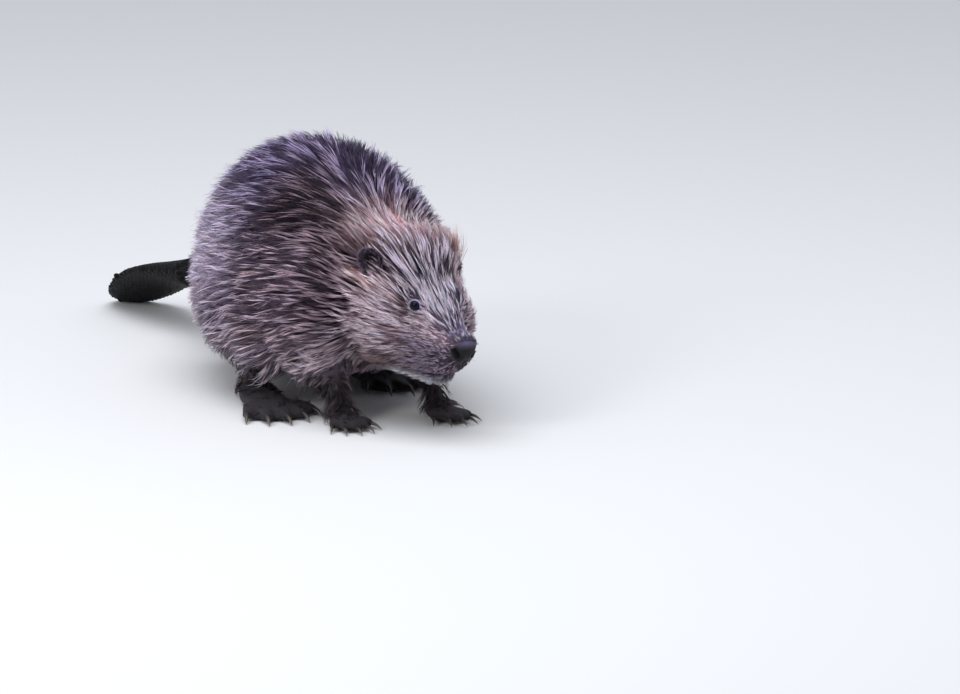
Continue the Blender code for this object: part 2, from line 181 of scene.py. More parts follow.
def spot(points, centre, radius):
    """1 at a centre, falling as a bell to nothing at about twice the radius."""
    return np.exp(-np.sum(((points - np.asarray(centre)) / radius) ** 2, axis=-1))


def mirrored(h):
    """The head's points with both sides folded onto the left one."""
    return np.abs(h * [0, 1, 0]) + h * [1, 0, 1]


def coat_depth(points):
    """Millimetres from the outside of the coat to the skin: the body's, then place by place."""
    h = head_mm(points)
    p = trunk_mm(points)
    depth = 12.5 - 5.0 * step(-p[:, 2], -80, -35)
    places = [
        ("head", step(h[:, 0], -165, -100), 7.0),
        ("muzzle", step(h[:, 0], -88, -25), 1.9),
        ("nose pad", step(h[:, 0], -20, -9), 0.5),
        ("round the eyes", spot(mirrored(h), EYE_PLACE, (13, 13, 13)), 2.0),
        ("left of the crown", spot(h, (-132, 54, 38), (28, 18, 24)), 4.5),
        ("left cheek", spot(h, (-44, 33, 2), (18, 12, 14)), 8.0),
        ("hollow under the left ear", spot(h, EAR_PLACE["left"], (13, 10, 12)), 14.0),
        ("legs", leg_share(points), 5.0),
        ("tail root", step(-p[:, 0], 190, 235), 6.0),
    ]
    for _, share, here in places:
        depth = depth + (here - depth) * share
    return depth * (1 - 0.92 * foot_share(points)) * (1 - 0.93 * tail_share(points))


on_the_back = np.array([trunk_mid + [0, 0, 0.25]])
print("coat on the back:", coat_depth(on_the_back).round(1), "mm deep")

# %% [markdown]
# ## Meshes as arrays
# Fur and skin come to more than a million triangles, too many to add face by face in a loop. Here a
# mesh goes in and out as whole arrays of points and of corners, which Blender copies at once. All
# the pieces below are made by these few helpers.

# %% Meshes as arrays
def make_piece(name, points, faces, smooth=True):
    """An object from an array of points and an array of faces that all have as many corners."""
    mesh = bpy.data.meshes.new(name)
    faces = np.asarray(faces, np.int32)
    corners = faces.shape[1]
    mesh.vertices.add(len(points))
    mesh.vertices.foreach_set("co", np.asarray(points, np.float32).ravel())
    mesh.loops.add(faces.size)
    mesh.loops.foreach_set("vertex_index", faces.ravel())
    mesh.polygons.add(len(faces))
    mesh.polygons.foreach_set("loop_start", np.arange(0, faces.size, corners, dtype=np.int32))
    mesh.polygons.foreach_set("loop_total", np.full(len(faces), corners, np.int32))
    mesh.update(calc_edges=True)
    mesh.polygons.foreach_set("use_smooth", np.full(len(faces), smooth))
    piece = bpy.data.objects.new(name, mesh)
    bpy.context.scene.collection.objects.link(piece)
    return piece


def read_mesh(mesh):
    """A mesh's points and its triangles as arrays."""
    mesh.calc_loop_triangles()
    points = np.empty(len(mesh.vertices) * 3)
    mesh.vertices.foreach_get("co", points)
    triangles = np.empty(len(mesh.loop_triangles) * 3, np.int64)
    mesh.loop_triangles.foreach_get("vertices", triangles)
    return points.reshape(-1, 3), triangles.reshape(-1, 3)


def joined(parts):
    """One array of points and one of faces from several pairs of them."""
    offsets = np.cumsum([0] + [len(points) for points, _ in parts])
    return (np.vstack([points for points, _ in parts]),
            np.vstack([faces + offset for (_, faces), offset in zip(parts, offsets)]))


print("the solid of the trunk has", len(read_mesh(frame["nodes"]["trunk"].data)[1]), "triangles")

# %% [markdown]
# ## The skin
# A real skin runs unbroken from the nose to the tail, but the solids meet with thin gaps between
# them. Boolean unions could join them, yet they often fail where shapes only just touch. So each
# flesh solid is swollen by half a millimetre, until it runs into its neighbours, and a voxel remesh
# wraps the lot in one closed skin with no seam. The eyes are wrapped too, so that no hole is left.

# %% Wrap the solids in one skin
FLESH = ["head", "neck", "trunk", "tail_root", "tail_paddle", "nose"]
FLESH += [f"{side}_{part}" for side in SIDES for part in ("fore_leg", "hind_leg", "fore_foot", "hind_foot")]
VOXEL = 2.3 * MM
SWELLING = 0.55 * MM


def applied(obj):
    """The object's mesh as its modifiers leave it; the object itself is removed."""
    graph = bpy.context.evaluated_depsgraph_get()
    mesh = bpy.data.meshes.new_from_object(obj.evaluated_get(graph), depsgraph=graph)
    bpy.data.objects.remove(obj)
    return mesh


def swollen(node):
    """The points and triangles of a solid after it has grown outwards a little."""
    copy = bpy.data.objects.new("copy", frame["nodes"][node].data.copy())
    bpy.context.scene.collection.objects.link(copy)
    weld = copy.modifiers.new("weld", "WELD")
    weld.merge_threshold = 1e-6
    outwards = copy.modifiers.new("outwards", "DISPLACE")
    outwards.strength = SWELLING
    outwards.mid_level = 0
    return read_mesh(applied(copy))


hull = make_piece("hull", *joined([swollen(node) for node in FLESH + ["left_eye", "right_eye"]]))
wrap = hull.modifiers.new("wrap", "REMESH")
wrap.mode = "VOXEL"
wrap.voxel_size = VOXEL
wrapped = applied(hull)
outer, outer_triangles = read_mesh(wrapped)
edges = np.empty(len(wrapped.edges) * 2, np.int64)
wrapped.edges.foreach_get("vertices", edges)
edges = edges.reshape(-1, 2)
print("wrapped:", len(outer), "vertices,", len(outer_triangles), "triangles")

# %% [markdown]
# The wrapped skin lies where the tips of the hair should end, so it has to sink by the depth of the
# coat. One big step along the normals would fold it over itself where a leg meets the belly. Small
# even steps, each followed by a little relaxing, keep it open. Feet and tail hardly move, and they
# are relaxed less, so that their toes stay sharp.

# %% Sink it by the depth of the coat
STEPS = 10
FLOOR_LEVEL = 0.25 * MM  # the soles stay just above the floor


def vertex_normals(points, triangles):
    """Each vertex's normal: the sum of its triangles' area vectors, made one long."""
    a, b, c = (points[triangles[:, k]] for k in range(3))
    area = np.cross(b - a, c - a)
    total = np.stack([sum(np.bincount(triangles[:, k], area[:, axis], len(points))
                          for k in range(3)) for axis in range(3)], axis=1)
    return unit(total)


def relaxed(points, edges, share, rounds):
    """Each round moves a vertex by its share of the way to the mean of its neighbours."""
    a, b = edges.T
    count = np.bincount(np.concatenate([a, b]), minlength=len(points))[:, None]
    for _ in range(rounds):
        near = np.stack([np.bincount(a, points[b, k], len(points))
                         + np.bincount(b, points[a, k], len(points)) for k in range(3)], axis=1)
        points = points + share * (near / np.maximum(count, 1) - points)
    return points


fine = np.clip(foot_share(outer) + tail_share(outer), 0, 1)[:, None]
outer = relaxed(outer, edges, 0.5 - 0.3 * fine, 10)
depth = coat_depth(outer)[:, None] * MM
skin_points = outer.copy()
for _ in range(STEPS):
    skin_points = skin_points - vertex_normals(skin_points, outer_triangles) * depth / STEPS
    skin_points = relaxed(skin_points, edges, 0.35 * (1 - fine), 2)
skin_points[:, 2] = np.maximum(skin_points[:, 2], FLOOR_LEVEL)
print("skin sunk by up to", round(float(depth.max() / MM), 1), "mm")

# %% [markdown]
# Thick fur hides most of the skin, and a hidden skin needs few triangles. A vertex group says how
# well each place is covered, and Decimate thins the mesh by it, so the nose, lips, lids, feet and
# tail keep their detail. The nose and the eyes need still more, so their faces are split in four.
# A finer wrap all over would do the same at many times the cost.

# %% Thin the hidden part, split the face
KEPT_SHARE = 0.55  # of the triangles
LEVELS = 10  # steps of weight in the vertex group
fur_cover = np.clip(coat_depth(skin_points) / 6.0, 0, 1) ** 2
draft = make_piece("draft", skin_points, outer_triangles)
group = draft.vertex_groups.new(name="under_fur")
for level in range(1, LEVELS + 1):
    chosen = np.flatnonzero(np.round(fur_cover * LEVELS) == level)
    group.add(chosen.tolist(), level / LEVELS, "REPLACE")
thin = draft.modifiers.new("thin", "DECIMATE")
thin.ratio = KEPT_SHARE
thin.vertex_group = "under_fur"
thinned = applied(draft)


def finer(mesh, chosen):
    """Splits the edges of the chosen faces in two, so that each face becomes four."""
    work = bmesh.new()
    work.from_mesh(mesh)
    work.faces.ensure_lookup_table()
    sides = {edge for index in np.flatnonzero(chosen) for edge in work.faces[index].edges}
    bmesh.ops.subdivide_edges(work, edges=list(sides), cuts=1, use_grid_fill=True)
    bmesh.ops.triangulate(work, faces=work.faces[:])
    work.to_mesh(mesh)
    work.free()
    return read_mesh(mesh)


points, triangles = read_mesh(thinned)
at = head_mm(points[triangles].mean(axis=1))
near_eye = np.linalg.norm(mirrored(at) - EYE_PLACE, axis=1) < 14
skin_points, skin_triangles = finer(thinned, (at[:, 0] > -40) | near_eye)
at = head_mm(skin_points[skin_triangles].mean(axis=1))
skin_points, skin_triangles = finer(thinned, (at[:, 0] > -23) & (at[:, 2] > -24))
bpy.data.meshes.remove(thinned)
bpy.data.meshes.remove(wrapped)
print("skin:", len(skin_points), "vertices,", len(skin_triangles), "triangles")

# %% [markdown]
# ## Colours and lines
# A listed colour is not what a shader computes with, so it is made linear first. Two shares
# are also needed, which a bell round a point can't give: one along a bent line, such as the mouth,
# and one on the dark bridge of the snout. They could be painted; as formulas they stay sharp on any
# mesh.

# %% Colours and lines
MOUTH = ((-10.0, 0.0, -36.0), (-50.0, 24.0, -44.0))  # from the middle to a corner, mirrored


def linear(*srgb):
    """A colour given as the usual 0 to 255 turned into the linear values that shaders use."""
    c = np.asarray(srgb, float) / 255
    return np.where(c <= 0.04045, c / 12.92, ((c + 0.055) / 1.055) ** 2.4)


def groove(h, start, end, radius, bow=0.0):
    """How near each point is to a line from start to end that bows upwards: 1 on it, 0 far off."""
    start, end = np.asarray(start, float), np.asarray(end, float)
    along = np.clip((h - start) @ (end - start) / np.sum((end - start) ** 2), 0, 1)
    spine = start + along[:, None] * (end - start)
    spine[:, 2] += bow * np.sin(math.pi * along)
    return np.exp(-np.sum((h - spine) ** 2, axis=1) / radius ** 2)


def bridge_share(f):
    """1 on top of the snout from the nose pad to between the eyes, 0 on the cheeks."""
    return step(f[:, 2] + 0.28 * f[:, 0], -5, 4) * step(f[:, 0], -84, -62)


print("middle grey is", linear(128).round(3), "to a shader")

# %% [markdown]
# ## Markings
# A beaver looks brown, but each hair has a dark woolly root, a body colour and a bleached tip, and
# all three change over the body. Here each place has those three colours. The list goes from the
# whole body to small places, and each entry is laid over the ones before it. An image would need an
# unwrap and a painter; a function of place colours the skin and every hair alike.

# %% Colours by place
def shoulder_share(p, on_head):
    """1 on the dark shoulders: behind the head, and further back high on the right side."""
    high_right = step(p[:, 0], 30, 90) * step(-p[:, 1], 5, 40) * step(p[:, 2], 160, 190)
    return np.minimum(step(p[:, 0], 115, 165) + high_right, 1) * (1 - on_head)


def markings(points):
    """Three colours at each point, as an array of point, shade (deep, middle, pale) and channel."""
    h = head_mm(points)
    f = mirrored(h)
    p = trunk_mm(points)
    on_head = step(h[:, 0], -138, -106)
    front = step(p[:, 0], 20, 90) * (1 - on_head)
    # the rear is painted lighter, more so higher up: partly the rump's own paler coat, partly painted light
    # on the side turned to the light
    rear = step(-p[:, 0], -65, 35) * (1 - 0.75 * step(-p[:, 0], 90, 170))
    rear = rear * (0.3 + 0.7 * step(p[:, 2], 60, 140))
    # top: the top of the back, whose lavender is painted sky sheen
    top = step(p[:, 2], 140, 225) * (1 - 0.9 * step(p[:, 0], 30, 90) * step(-p[:, 1], 0, 40))
    low = 1 - step(p[:, 2], 40, 120)
    forehead = on_head * step(f[:, 2] - 0.25 * f[:, 1], 8, 26)
    low_head = on_head * (1 - step(h[:, 2], -43, -20))
    lips = step(f[:, 0], -66, -38) * (1 - step(f[:, 2], -12, 0))
    chin = 0.85 * step(f[:, 0], -84, -66) * (1 - step(f[:, 2], -48, -40))
    throat = on_head * (1 - step(h[:, 0], -150, -95)) * (1 - step(f[:, 2], -60, -40))
    places = [  # share, then the deep, the middle and the pale colour
        ("body", np.ones(len(p)), (28, 20, 31), (64, 50, 69), (240, 214, 238)),
        # rear: own paler coat plus painted light, stronger higher up
        ("rear", rear, (106, 94, 112), (204, 187, 212), (250, 238, 252)),
        ("front", front, (44, 35, 45), (92, 77, 92), (236, 206, 222)),
        # lavender on the top of the back: painted sky sheen from the light above
        ("top of the back", top, (26, 20, 35), (66, 53, 80), (216, 198, 240)),
        ("shoulders", shoulder_share(p, on_head), (18, 12, 19), (38, 28, 39), (160, 133, 146)),
        ("low flanks", 0.8 * low, (74, 64, 73), (156, 139, 153), (252, 234, 246)),
        ("head", on_head, (56, 41, 48), (158, 127, 142), (255, 236, 246)),
        # the forehead's pale tips are bleached hair painted silvery lavender: the lavender is a painted sky
        # reflection
        ("forehead", forehead, (14, 9, 16), (38, 27, 42), (255, 238, 255)),
        ("crown", spot(f, (-148, 0, 58), (30, 40, 24)), (164, 114, 122), (255, 206, 214), (255, 246, 250)),
        ("left of the crown", spot(h, (-136, 54, 36), (26, 18, 20)),
         (100, 66, 66), (220, 166, 164), (255, 234, 232)),
        ("below the ears", spot(f, (-108, 48, 22), (22, 15, 10)),
         (132, 87, 88), (255, 202, 202), (255, 238, 236)),
        ("behind the brow", 0.95 * spot(f, (-103, 40, 39), (24, 12, 8)),
         (18, 13, 16), (38, 28, 33), (180, 150, 152)),
        ("round the eyes", 0.9 * spot(f, EYE_PLACE, (12, 12, 12)),
         (24, 17, 22), (50, 39, 45), (120, 101, 108)),
        ("inside the left ear", 0.95 * spot(h, EAR_PLACE["left"], (7, 9, 8)),
         (8, 6, 8), (16, 12, 15), (60, 50, 58)),
        ("low on the head", low_head, (22, 16, 19), (48, 40, 44), (144, 126, 132)),
        ("mouth corners", 0.8 * spot(f, (-76, 34, -35), (17, 12, 9)),
         (20, 12, 12), (50, 34, 32), (156, 120, 112)),
        ("jowls", 0.5 * spot(f, (-88, 48, -34), (14, 11, 9)),
         (60, 48, 53), (156, 134, 144), (255, 232, 240)),
        # the bridge's pale tips are bleached hair painted lavender: the lavender is a painted sky
        # reflection
        ("bridge", bridge_share(f), (25, 20, 30), (80, 68, 94), (255, 242, 255)),
        ("lips", lips, (34, 28, 36), (76, 65, 78), (198, 178, 202)),
        # lavender fur on top of the snout: painted sky sheen
        ("above the nose", 0.85 * spot(h, (-15, 5, 6), (9, 12, 6)),
         (104, 94, 120), (172, 158, 194), (232, 220, 248)),
        ("chin", chin, (108, 105, 112), (200, 196, 205), (246, 244, 250)),
        ("throat", throat, (24, 20, 23), (44, 39, 42), (96, 88, 94)),
        # the dark mouth line is painted shade in the crease between the lips
        ("mouth", 0.9 * groove(f, *MOUTH, 3.2), (14, 11, 13), (24, 20, 23), (40, 35, 38)),
        ("legs", leg_share(points), (30, 26, 28), (56, 48, 51), (116, 103, 108)),
        ("tail root", step(-p[:, 0], 205, 262), (18, 15, 18), (32, 27, 32), (64, 56, 66)),
        ("feet", foot_share(points), (30, 26, 28), (42, 36, 39), (58, 51, 54)),
        ("tail", tail_share(points), (12, 11, 13), (16, 15, 17), (36, 33, 40)),
    ]
    shades = np.zeros((len(points), 3, 3))
    for _, share, *colours in places:
        shades += (linear(*colours).reshape(3, 3) - shades) * share[:, None, None]
    return shades


print("the back, from root to tip:", markings(on_the_back)[0].round(3).tolist())

# %% [markdown]
# ## Nose and lips
# The nose pad is bare, pebbled leather, and its nostrils are commas on the sides that can shut under
# water. The mouth runs back from a cleft under the nose to the whisker pads. All of it could be
# sculpted with brushes; here the skin is pushed in or out along short bent lines, so that each
# crease keeps a place and a width that can be read and changed.

# %% Shape the muzzle
NOSTRIL = ((-3.5, 8.0, -8.5), (-11.0, 15.5, -1.5))
CLEFT = ((-3.0, 0.0, -14.0), (-10.0, 0.0, -36.0))
NOSE_SHIFT = (4.0, 6.0, -2.4)  # mm that the swollen nose is moved forward, left and up


def on_nose(f):
    """1 on the bare pad of the nose: an oval seen from the front, wide above and narrow below."""
    half_width = 13.8 - 0.45 * np.maximum(-f[:, 2] - 6, 0)
    oval = (f[:, 1] / half_width) ** 2 + ((f[:, 2] + 6.5) / 12.5) ** 2
    return (1 - step(oval, 0.90, 1.06)) * step(f[:, 0], -20, -16)


h = head_mm(skin_points)
f = mirrored(h)
nostril = groove(f, *NOSTRIL, 2.8, bow=1.6)
wing = groove(f, *NOSTRIL, 6.0, bow=1.6) - nostril
mouth = groove(f, *MOUTH, 3.4)
cleft = groove(f, *CLEFT, 1.6)
pad = spot(f, (-24, 17, -21), (13, 10, 9))
left_lip = spot(h, (-15, 15, -25), (15, 10, 14))  # the lip is drawn in on the side it turns away from
nose_swell = spot(h, (-10, 0, -3), (16, 20, 20))
push = -6.5 * nostril - 3.6 * mouth - 1.2 * cleft + 1.3 * wing + 1.0 * pad - 5.0 * left_lip
normals = vertex_normals(skin_points, skin_triangles)
skin_points = skin_points + normals * ((push + 1.6 * nose_swell) * MM)[:, None]
skin_points = skin_points + nose_swell[:, None] * (np.array(NOSE_SHIFT) @ HEAD) * MM
skin_normals = vertex_normals(skin_points, skin_triangles)
nose_share = on_nose(f)
print("vertices on the nose pad:", int((nose_share > 0.5).sum()))

# %% [markdown]
# The finished skin carries its colours and two more numbers at every vertex: how bare it is, for
# the pebbled leather, and how wet. The leather is black below and lavender grey above, where the
# light of the sky falls on it. Attributes do this without an unwrap.

# %% The finished skin
LEATHER = linear(9, 8, 11)
LEATHER_ABOVE = linear(106, 94, 126)


def give_colour(piece, name, colours):
    """Stores a colour for every vertex under a name."""
    layer = piece.data.color_attributes.new(name, "FLOAT_COLOR", "POINT")
    layer.data.foreach_set("color", np.column_stack([colours, np.ones(len(colours))]).ravel())


def give_number(piece, name, values):
    """Stores a number for every vertex under a name."""
    layer = piece.data.attributes.new(name, "FLOAT", "POINT")
    layer.data.foreach_set("value", np.asarray(values, np.float32))


skin = make_piece("skin", skin_points, skin_triangles)
shades = markings(skin_points)
feet_and_tail = foot_share(skin_points) + tail_share(skin_points)
skin_tint = shades[:, 0] * 0.75 + shades[:, 1] * 0.25
skin_tint += (shades[:, 1] - skin_tint) * feet_and_tail[:, None]
leather = LEATHER + (LEATHER_ABOVE - LEATHER) * step(h[:, 2], -2.5, 8)[:, None]
skin_tint += (leather - skin_tint) * nose_share[:, None]
# nostrils, mouth line and cleft painted almost black: painted shade in these openings and creases
skin_tint *= 1 - 0.985 * np.clip(step(nostril, 0.22, 0.5) + 0.8 * mouth + 0.5 * cleft, 0, 1)[:, None]
give_colour(skin, "tint", skin_tint)
give_number(skin, "bare", np.clip(feet_and_tail + nose_share, 0, 1))
give_number(skin, "wet", nose_share * (1 - step(nostril, 0.2, 0.5)))
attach(skin, "root")
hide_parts(*FLESH)
print("skin replaces", len(FLESH), "solids")

# %% [markdown]
# ## Materials
# Fur, horn, hide and a wet eye differ in colour, roughness and shine. Painted images could hold all
# three, but they need an unwrap of every piece. Here every finish is made of nodes instead. The
# colour comes from the attribute that a piece carries, with a fine noise over it so that no patch is
# flat, and a value that is the same all over is set on the shader's own socket.

# %% Material helpers
def finish(name, roughness, specular, sheen):
    """A material with its Principled shader's constant values set."""
    material = bpy.data.materials.new(name)
    material.use_nodes = True
    shader = material.node_tree.nodes["Principled BSDF"]
    shader.inputs["Roughness"].default_value = roughness
    shader.inputs["Specular IOR Level"].default_value = specular
    shader.inputs["Sheen Weight"].default_value = sheen
    shader.inputs["Sheen Tint"].default_value = (0.80, 0.76, 0.95, 1)
    return material, shader


def add(material, kind, values=(), **settings):
    """A node with its settings and the values of its inputs by name or number."""
    node = material.node_tree.nodes.new("ShaderNode" + kind)
    for key, value in settings.items():
        setattr(node, key, value)
    for key, value in dict(values).items():
        node.inputs[key].default_value = value
    return node


def link(material, source, target):
    """Joins an output of one node to an input of another."""
    material.node_tree.links.new(source, target)


def attribute_tint(material, name, grain, low, high):
    """The attribute's colour, made lighter and darker between low and high by noise of one grain."""
    tint = add(material, "Attribute", attribute_name=name)
    place = add(material, "TexCoord")
    noise = add(material, "TexNoise", {"Scale": grain, "Detail": 4.0})
    link(material, place.outputs["Object"], noise.inputs["Vector"])
    spread = add(material, "MapRange", {"From Min": 0.3, "From Max": 0.7, "To Min": low, "To Max": high})
    link(material, noise.outputs[0], spread.inputs["Value"])
    scale = add(material, "VectorMath", operation="SCALE")
    link(material, tint.outputs["Color"], scale.inputs[0])
    link(material, spread.outputs[0], scale.inputs["Scale"])
    return scale.outputs[0], noise.outputs[0], place.outputs["Object"]


def bump(material, shader, height, distance, strength):
    """Makes a height, which comes from a node, show as relief of a given distance."""
    node = add(material, "Bump", {"Distance": distance, "Strength": strength})
    link(material, height, node.inputs["Height"])
    link(material, node.outputs[0], shader.inputs["Normal"])


def tinted_finish(name, roughness, specular, grain, spread, sheen=0.0, relief=None):
    """A finish in the piece's own tint; relief is the height and the strength of its fine grain."""
    material, shader = finish(name, roughness, specular, sheen)
    colour, noise, _ = attribute_tint(material, "tint", grain, *spread)
    link(material, colour, shader.inputs["Base Color"])
    if relief:
        bump(material, shader, noise, *relief)
    return material


# %% [markdown]
# Under the fur the hide is dull and woolly. Where it is bare it turns to pebbled leather, which is
# damp on the nose. One material mixes the two by the attributes of the skin, so that no seam shows
# between them. Hair is nearly as dull: its colour runs from root to tip, and a thin grain of noise
# keeps neighbouring locks apart. Hair shaders for curves would look softer, but a library part has
# to travel as plain surfaces.

# %% Hide and fur
def hide_finish():
    """Woolly skin under the fur, pebbled leather where the attribute bare is 1, damp on the nose."""
    material, shader = finish("skin_hide", 0.60, specular=0.20, sheen=0.06)
    colour, noise, place = attribute_tint(material, "tint", 260.0, 0.75, 1.25)
    link(material, colour, shader.inputs["Base Color"])
    bare_part = add(material, "Attribute", attribute_name="bare")
    wet_part = add(material, "Attribute", attribute_name="wet")
    pebbles = add(material, "TexVoronoi", {"Scale": 900.0}, feature="F1")
    link(material, place, pebbles.inputs["Vector"])
    choose = add(material, "Mix")
    link(material, bare_part.outputs["Fac"], choose.inputs["Factor"])
    link(material, noise, choose.inputs["A"])
    link(material, pebbles.outputs["Distance"], choose.inputs["B"])
    bump(material, shader, choose.outputs[0], 0.0010, 1.0)
    smoother = add(material, "MapRange", {"To Min": 0.60, "To Max": 0.34})
    link(material, wet_part.outputs["Fac"], smoother.inputs["Value"])
    link(material, smoother.outputs[0], shader.inputs["Roughness"])
    return material


skin.data.materials.append(hide_finish())
body_fur = tinted_finish("body_fur", 0.44, 0.14, 90.0, (0.86, 1.14))
face_fur = tinted_finish("face_fur", 0.40, 0.14, 90.0, (0.86, 1.14))
print("finishes:", skin.data.materials[0].name, body_fur.name, face_fur.name)

# %% [markdown]
# ## Round closed surfaces
# Eyeballs, ears, claws and whiskers are all a grid of points whose rows are rings, closed by a point
# at each end. Spin or Screw could turn such shapes from a curve. One helper that numbers the faces
# of the grid serves them all, and another turns every face to the outside, since a mirrored grid
# comes out inside out.

# %% Round closed surfaces
def grid_faces(rows, around):
    """Four-cornered faces of a grid of points in which every row closes on itself."""
    row, column = np.meshgrid(np.arange(rows - 1), np.arange(around), indexing="ij")
    a = row * around + column
    b = row * around + (column + 1) % around
    return np.stack([a, b, b + around, a + around], axis=-1).reshape(-1, 4)


def closed_faces(rows, around):
    """Triangles of a grid that closes on itself, with a fan to a pole at each end."""
    quads = grid_faces(rows, around)
    sides = np.column_stack([quads[:, [0, 1, 2]], quads[:, [0, 2, 3]]]).reshape(-1, 3)
    ids = np.arange(around)
    first = np.column_stack([np.roll(ids, -1), ids, np.full(around, rows * around)])
    last = first[:, [1, 0, 2]] + [(rows - 1) * around, (rows - 1) * around, 1]
    return np.vstack([sides, first, last])


def outward(piece):
    """Turns every face of a closed piece to the outside."""
    work = bmesh.new()
    work.from_mesh(piece.data)
    bmesh.ops.recalc_face_normals(work, faces=work.faces[:])
    work.to_mesh(piece.data)
    work.free()
    return piece


print("a grid of 3 rings of 8 points has", len(closed_faces(3, 8)), "triangles")

# %% [markdown]
# ## Eyes
# A beaver's eye is small, round and nearly black, and its clear front bulges a little. A ready-made
# sphere could be pulled into shape. Here a profile is turned about the line of sight instead, since
# the bulge, the pupil and the iris are all measured from that one line.

# %% Eyeballs
EYE_RADIUS = 5.6 * MM
EYE_CENTRE = {"left": (-62.6, 26.7, 17.8), "right": (-59.5, -26.9, 20.0)}  # the left one lies deeper
GAZE = {"left": (0.42, 0.86, 0.28), "right": (0.66, -0.64, 0.38)}  # in the head's frame
# a dark iris painted deep blue: the blue is a painted reflection of the sky
IRIS_AND_SKY_REFLECTION = linear(27, 24, 60)
eye_centre = {side: from_head(place) for side, place in EYE_CENTRE.items()}


def gaze_frame(side):
    """The eye's own axes: where it looks, towards the nose, and up."""
    sign = 1 if side == "left" else -1
    gaze = unit(np.array(GAZE[side])) @ HEAD
    nosewards = unit(HEAD[0] - gaze * (HEAD[0] @ gaze))
    return gaze, nosewards, np.cross(gaze, nosewards) * sign


def eyeball(side):
    """A sphere turned from its profile about the gaze, with a clear bulge over the iris.

    The radius at an angle a from the gaze is the eye's own, plus 0.35 mm * exp(-(a / 35 degrees)^2).
    """
    gaze, nosewards, up = gaze_frame(side)
    rings, around = 33, 48
    a = np.linspace(0.02, math.pi - 0.02, rings)
    turn = np.arange(around) / around * 2 * math.pi
    radius = EYE_RADIUS + 0.35 * MM * np.exp(-(a / math.radians(35)) ** 2)
    ring = nosewards * np.cos(turn)[:, None] + up * np.sin(turn)[:, None]
    grid = (gaze * np.cos(a)[:, None, None] + ring * np.sin(a)[:, None, None]) * radius[:, None, None]
    poles = eye_centre[side] + np.array([gaze * radius[0], -gaze * radius[-1]])
    points = np.vstack([(eye_centre[side] + grid).reshape(-1, 3), poles])
    piece = make_piece(side + "_eyeball", points, closed_faces(rings, around))
    off = np.append(np.repeat(a, around), [0, math.pi])
    streaks = 0.5 + 0.5 * np.sin(np.append(np.tile(turn * 23, rings), [0, 0]))
    # the blue of the iris is a painted sky reflection
    iris = IRIS_AND_SKY_REFLECTION * (0.7 + 0.5 * streaks[:, None])
    pupil = 1 - step(off, math.radians(32), math.radians(40))
    rim = step(off, math.radians(44), math.radians(52))
    colour = iris * (1 - 0.96 * pupil[:, None]) * (1 - 0.6 * rim[:, None])
    give_colour(piece, "tint", colour)
    return piece


wet_eye = tinted_finish("wet_eye", 0.03, 0.14, 700.0, (0.8, 1.2))
for side in SIDES:
    ball = outward(eyeball(side))
    ball.data.materials.append(wet_eye)
    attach(ball, "root")
    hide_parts(side + "_eye")
    print(ball.name, len(ball.data.polygons), "triangles, centre", eye_centre[side].round(4))

# %% [markdown]
# The lids are what makes an eye look alive: a bare, slightly damp rim with a soft fold behind it.
# Upper and lower lid could be two strips, but they would have to meet at both corners. One closed
# ring has no such joint. Its inner edge lies on the eyeball, and its outer edge goes down under the
# skin.

# %% Lids
OPENING = (4.8, 4.5)  # half length and half height of the opening between the lids, in mm
LID_WIDTH = 4.0
# the lower rim is painted lighter lavender, painted light from the sky; the upper rim darker, painted shade
# under the brow
SHADED_UPPER_RIM, SKY_LIT_LOWER_RIM = linear(84, 76, 98), linear(150, 140, 172)
LID_FUR = linear(34, 27, 32)


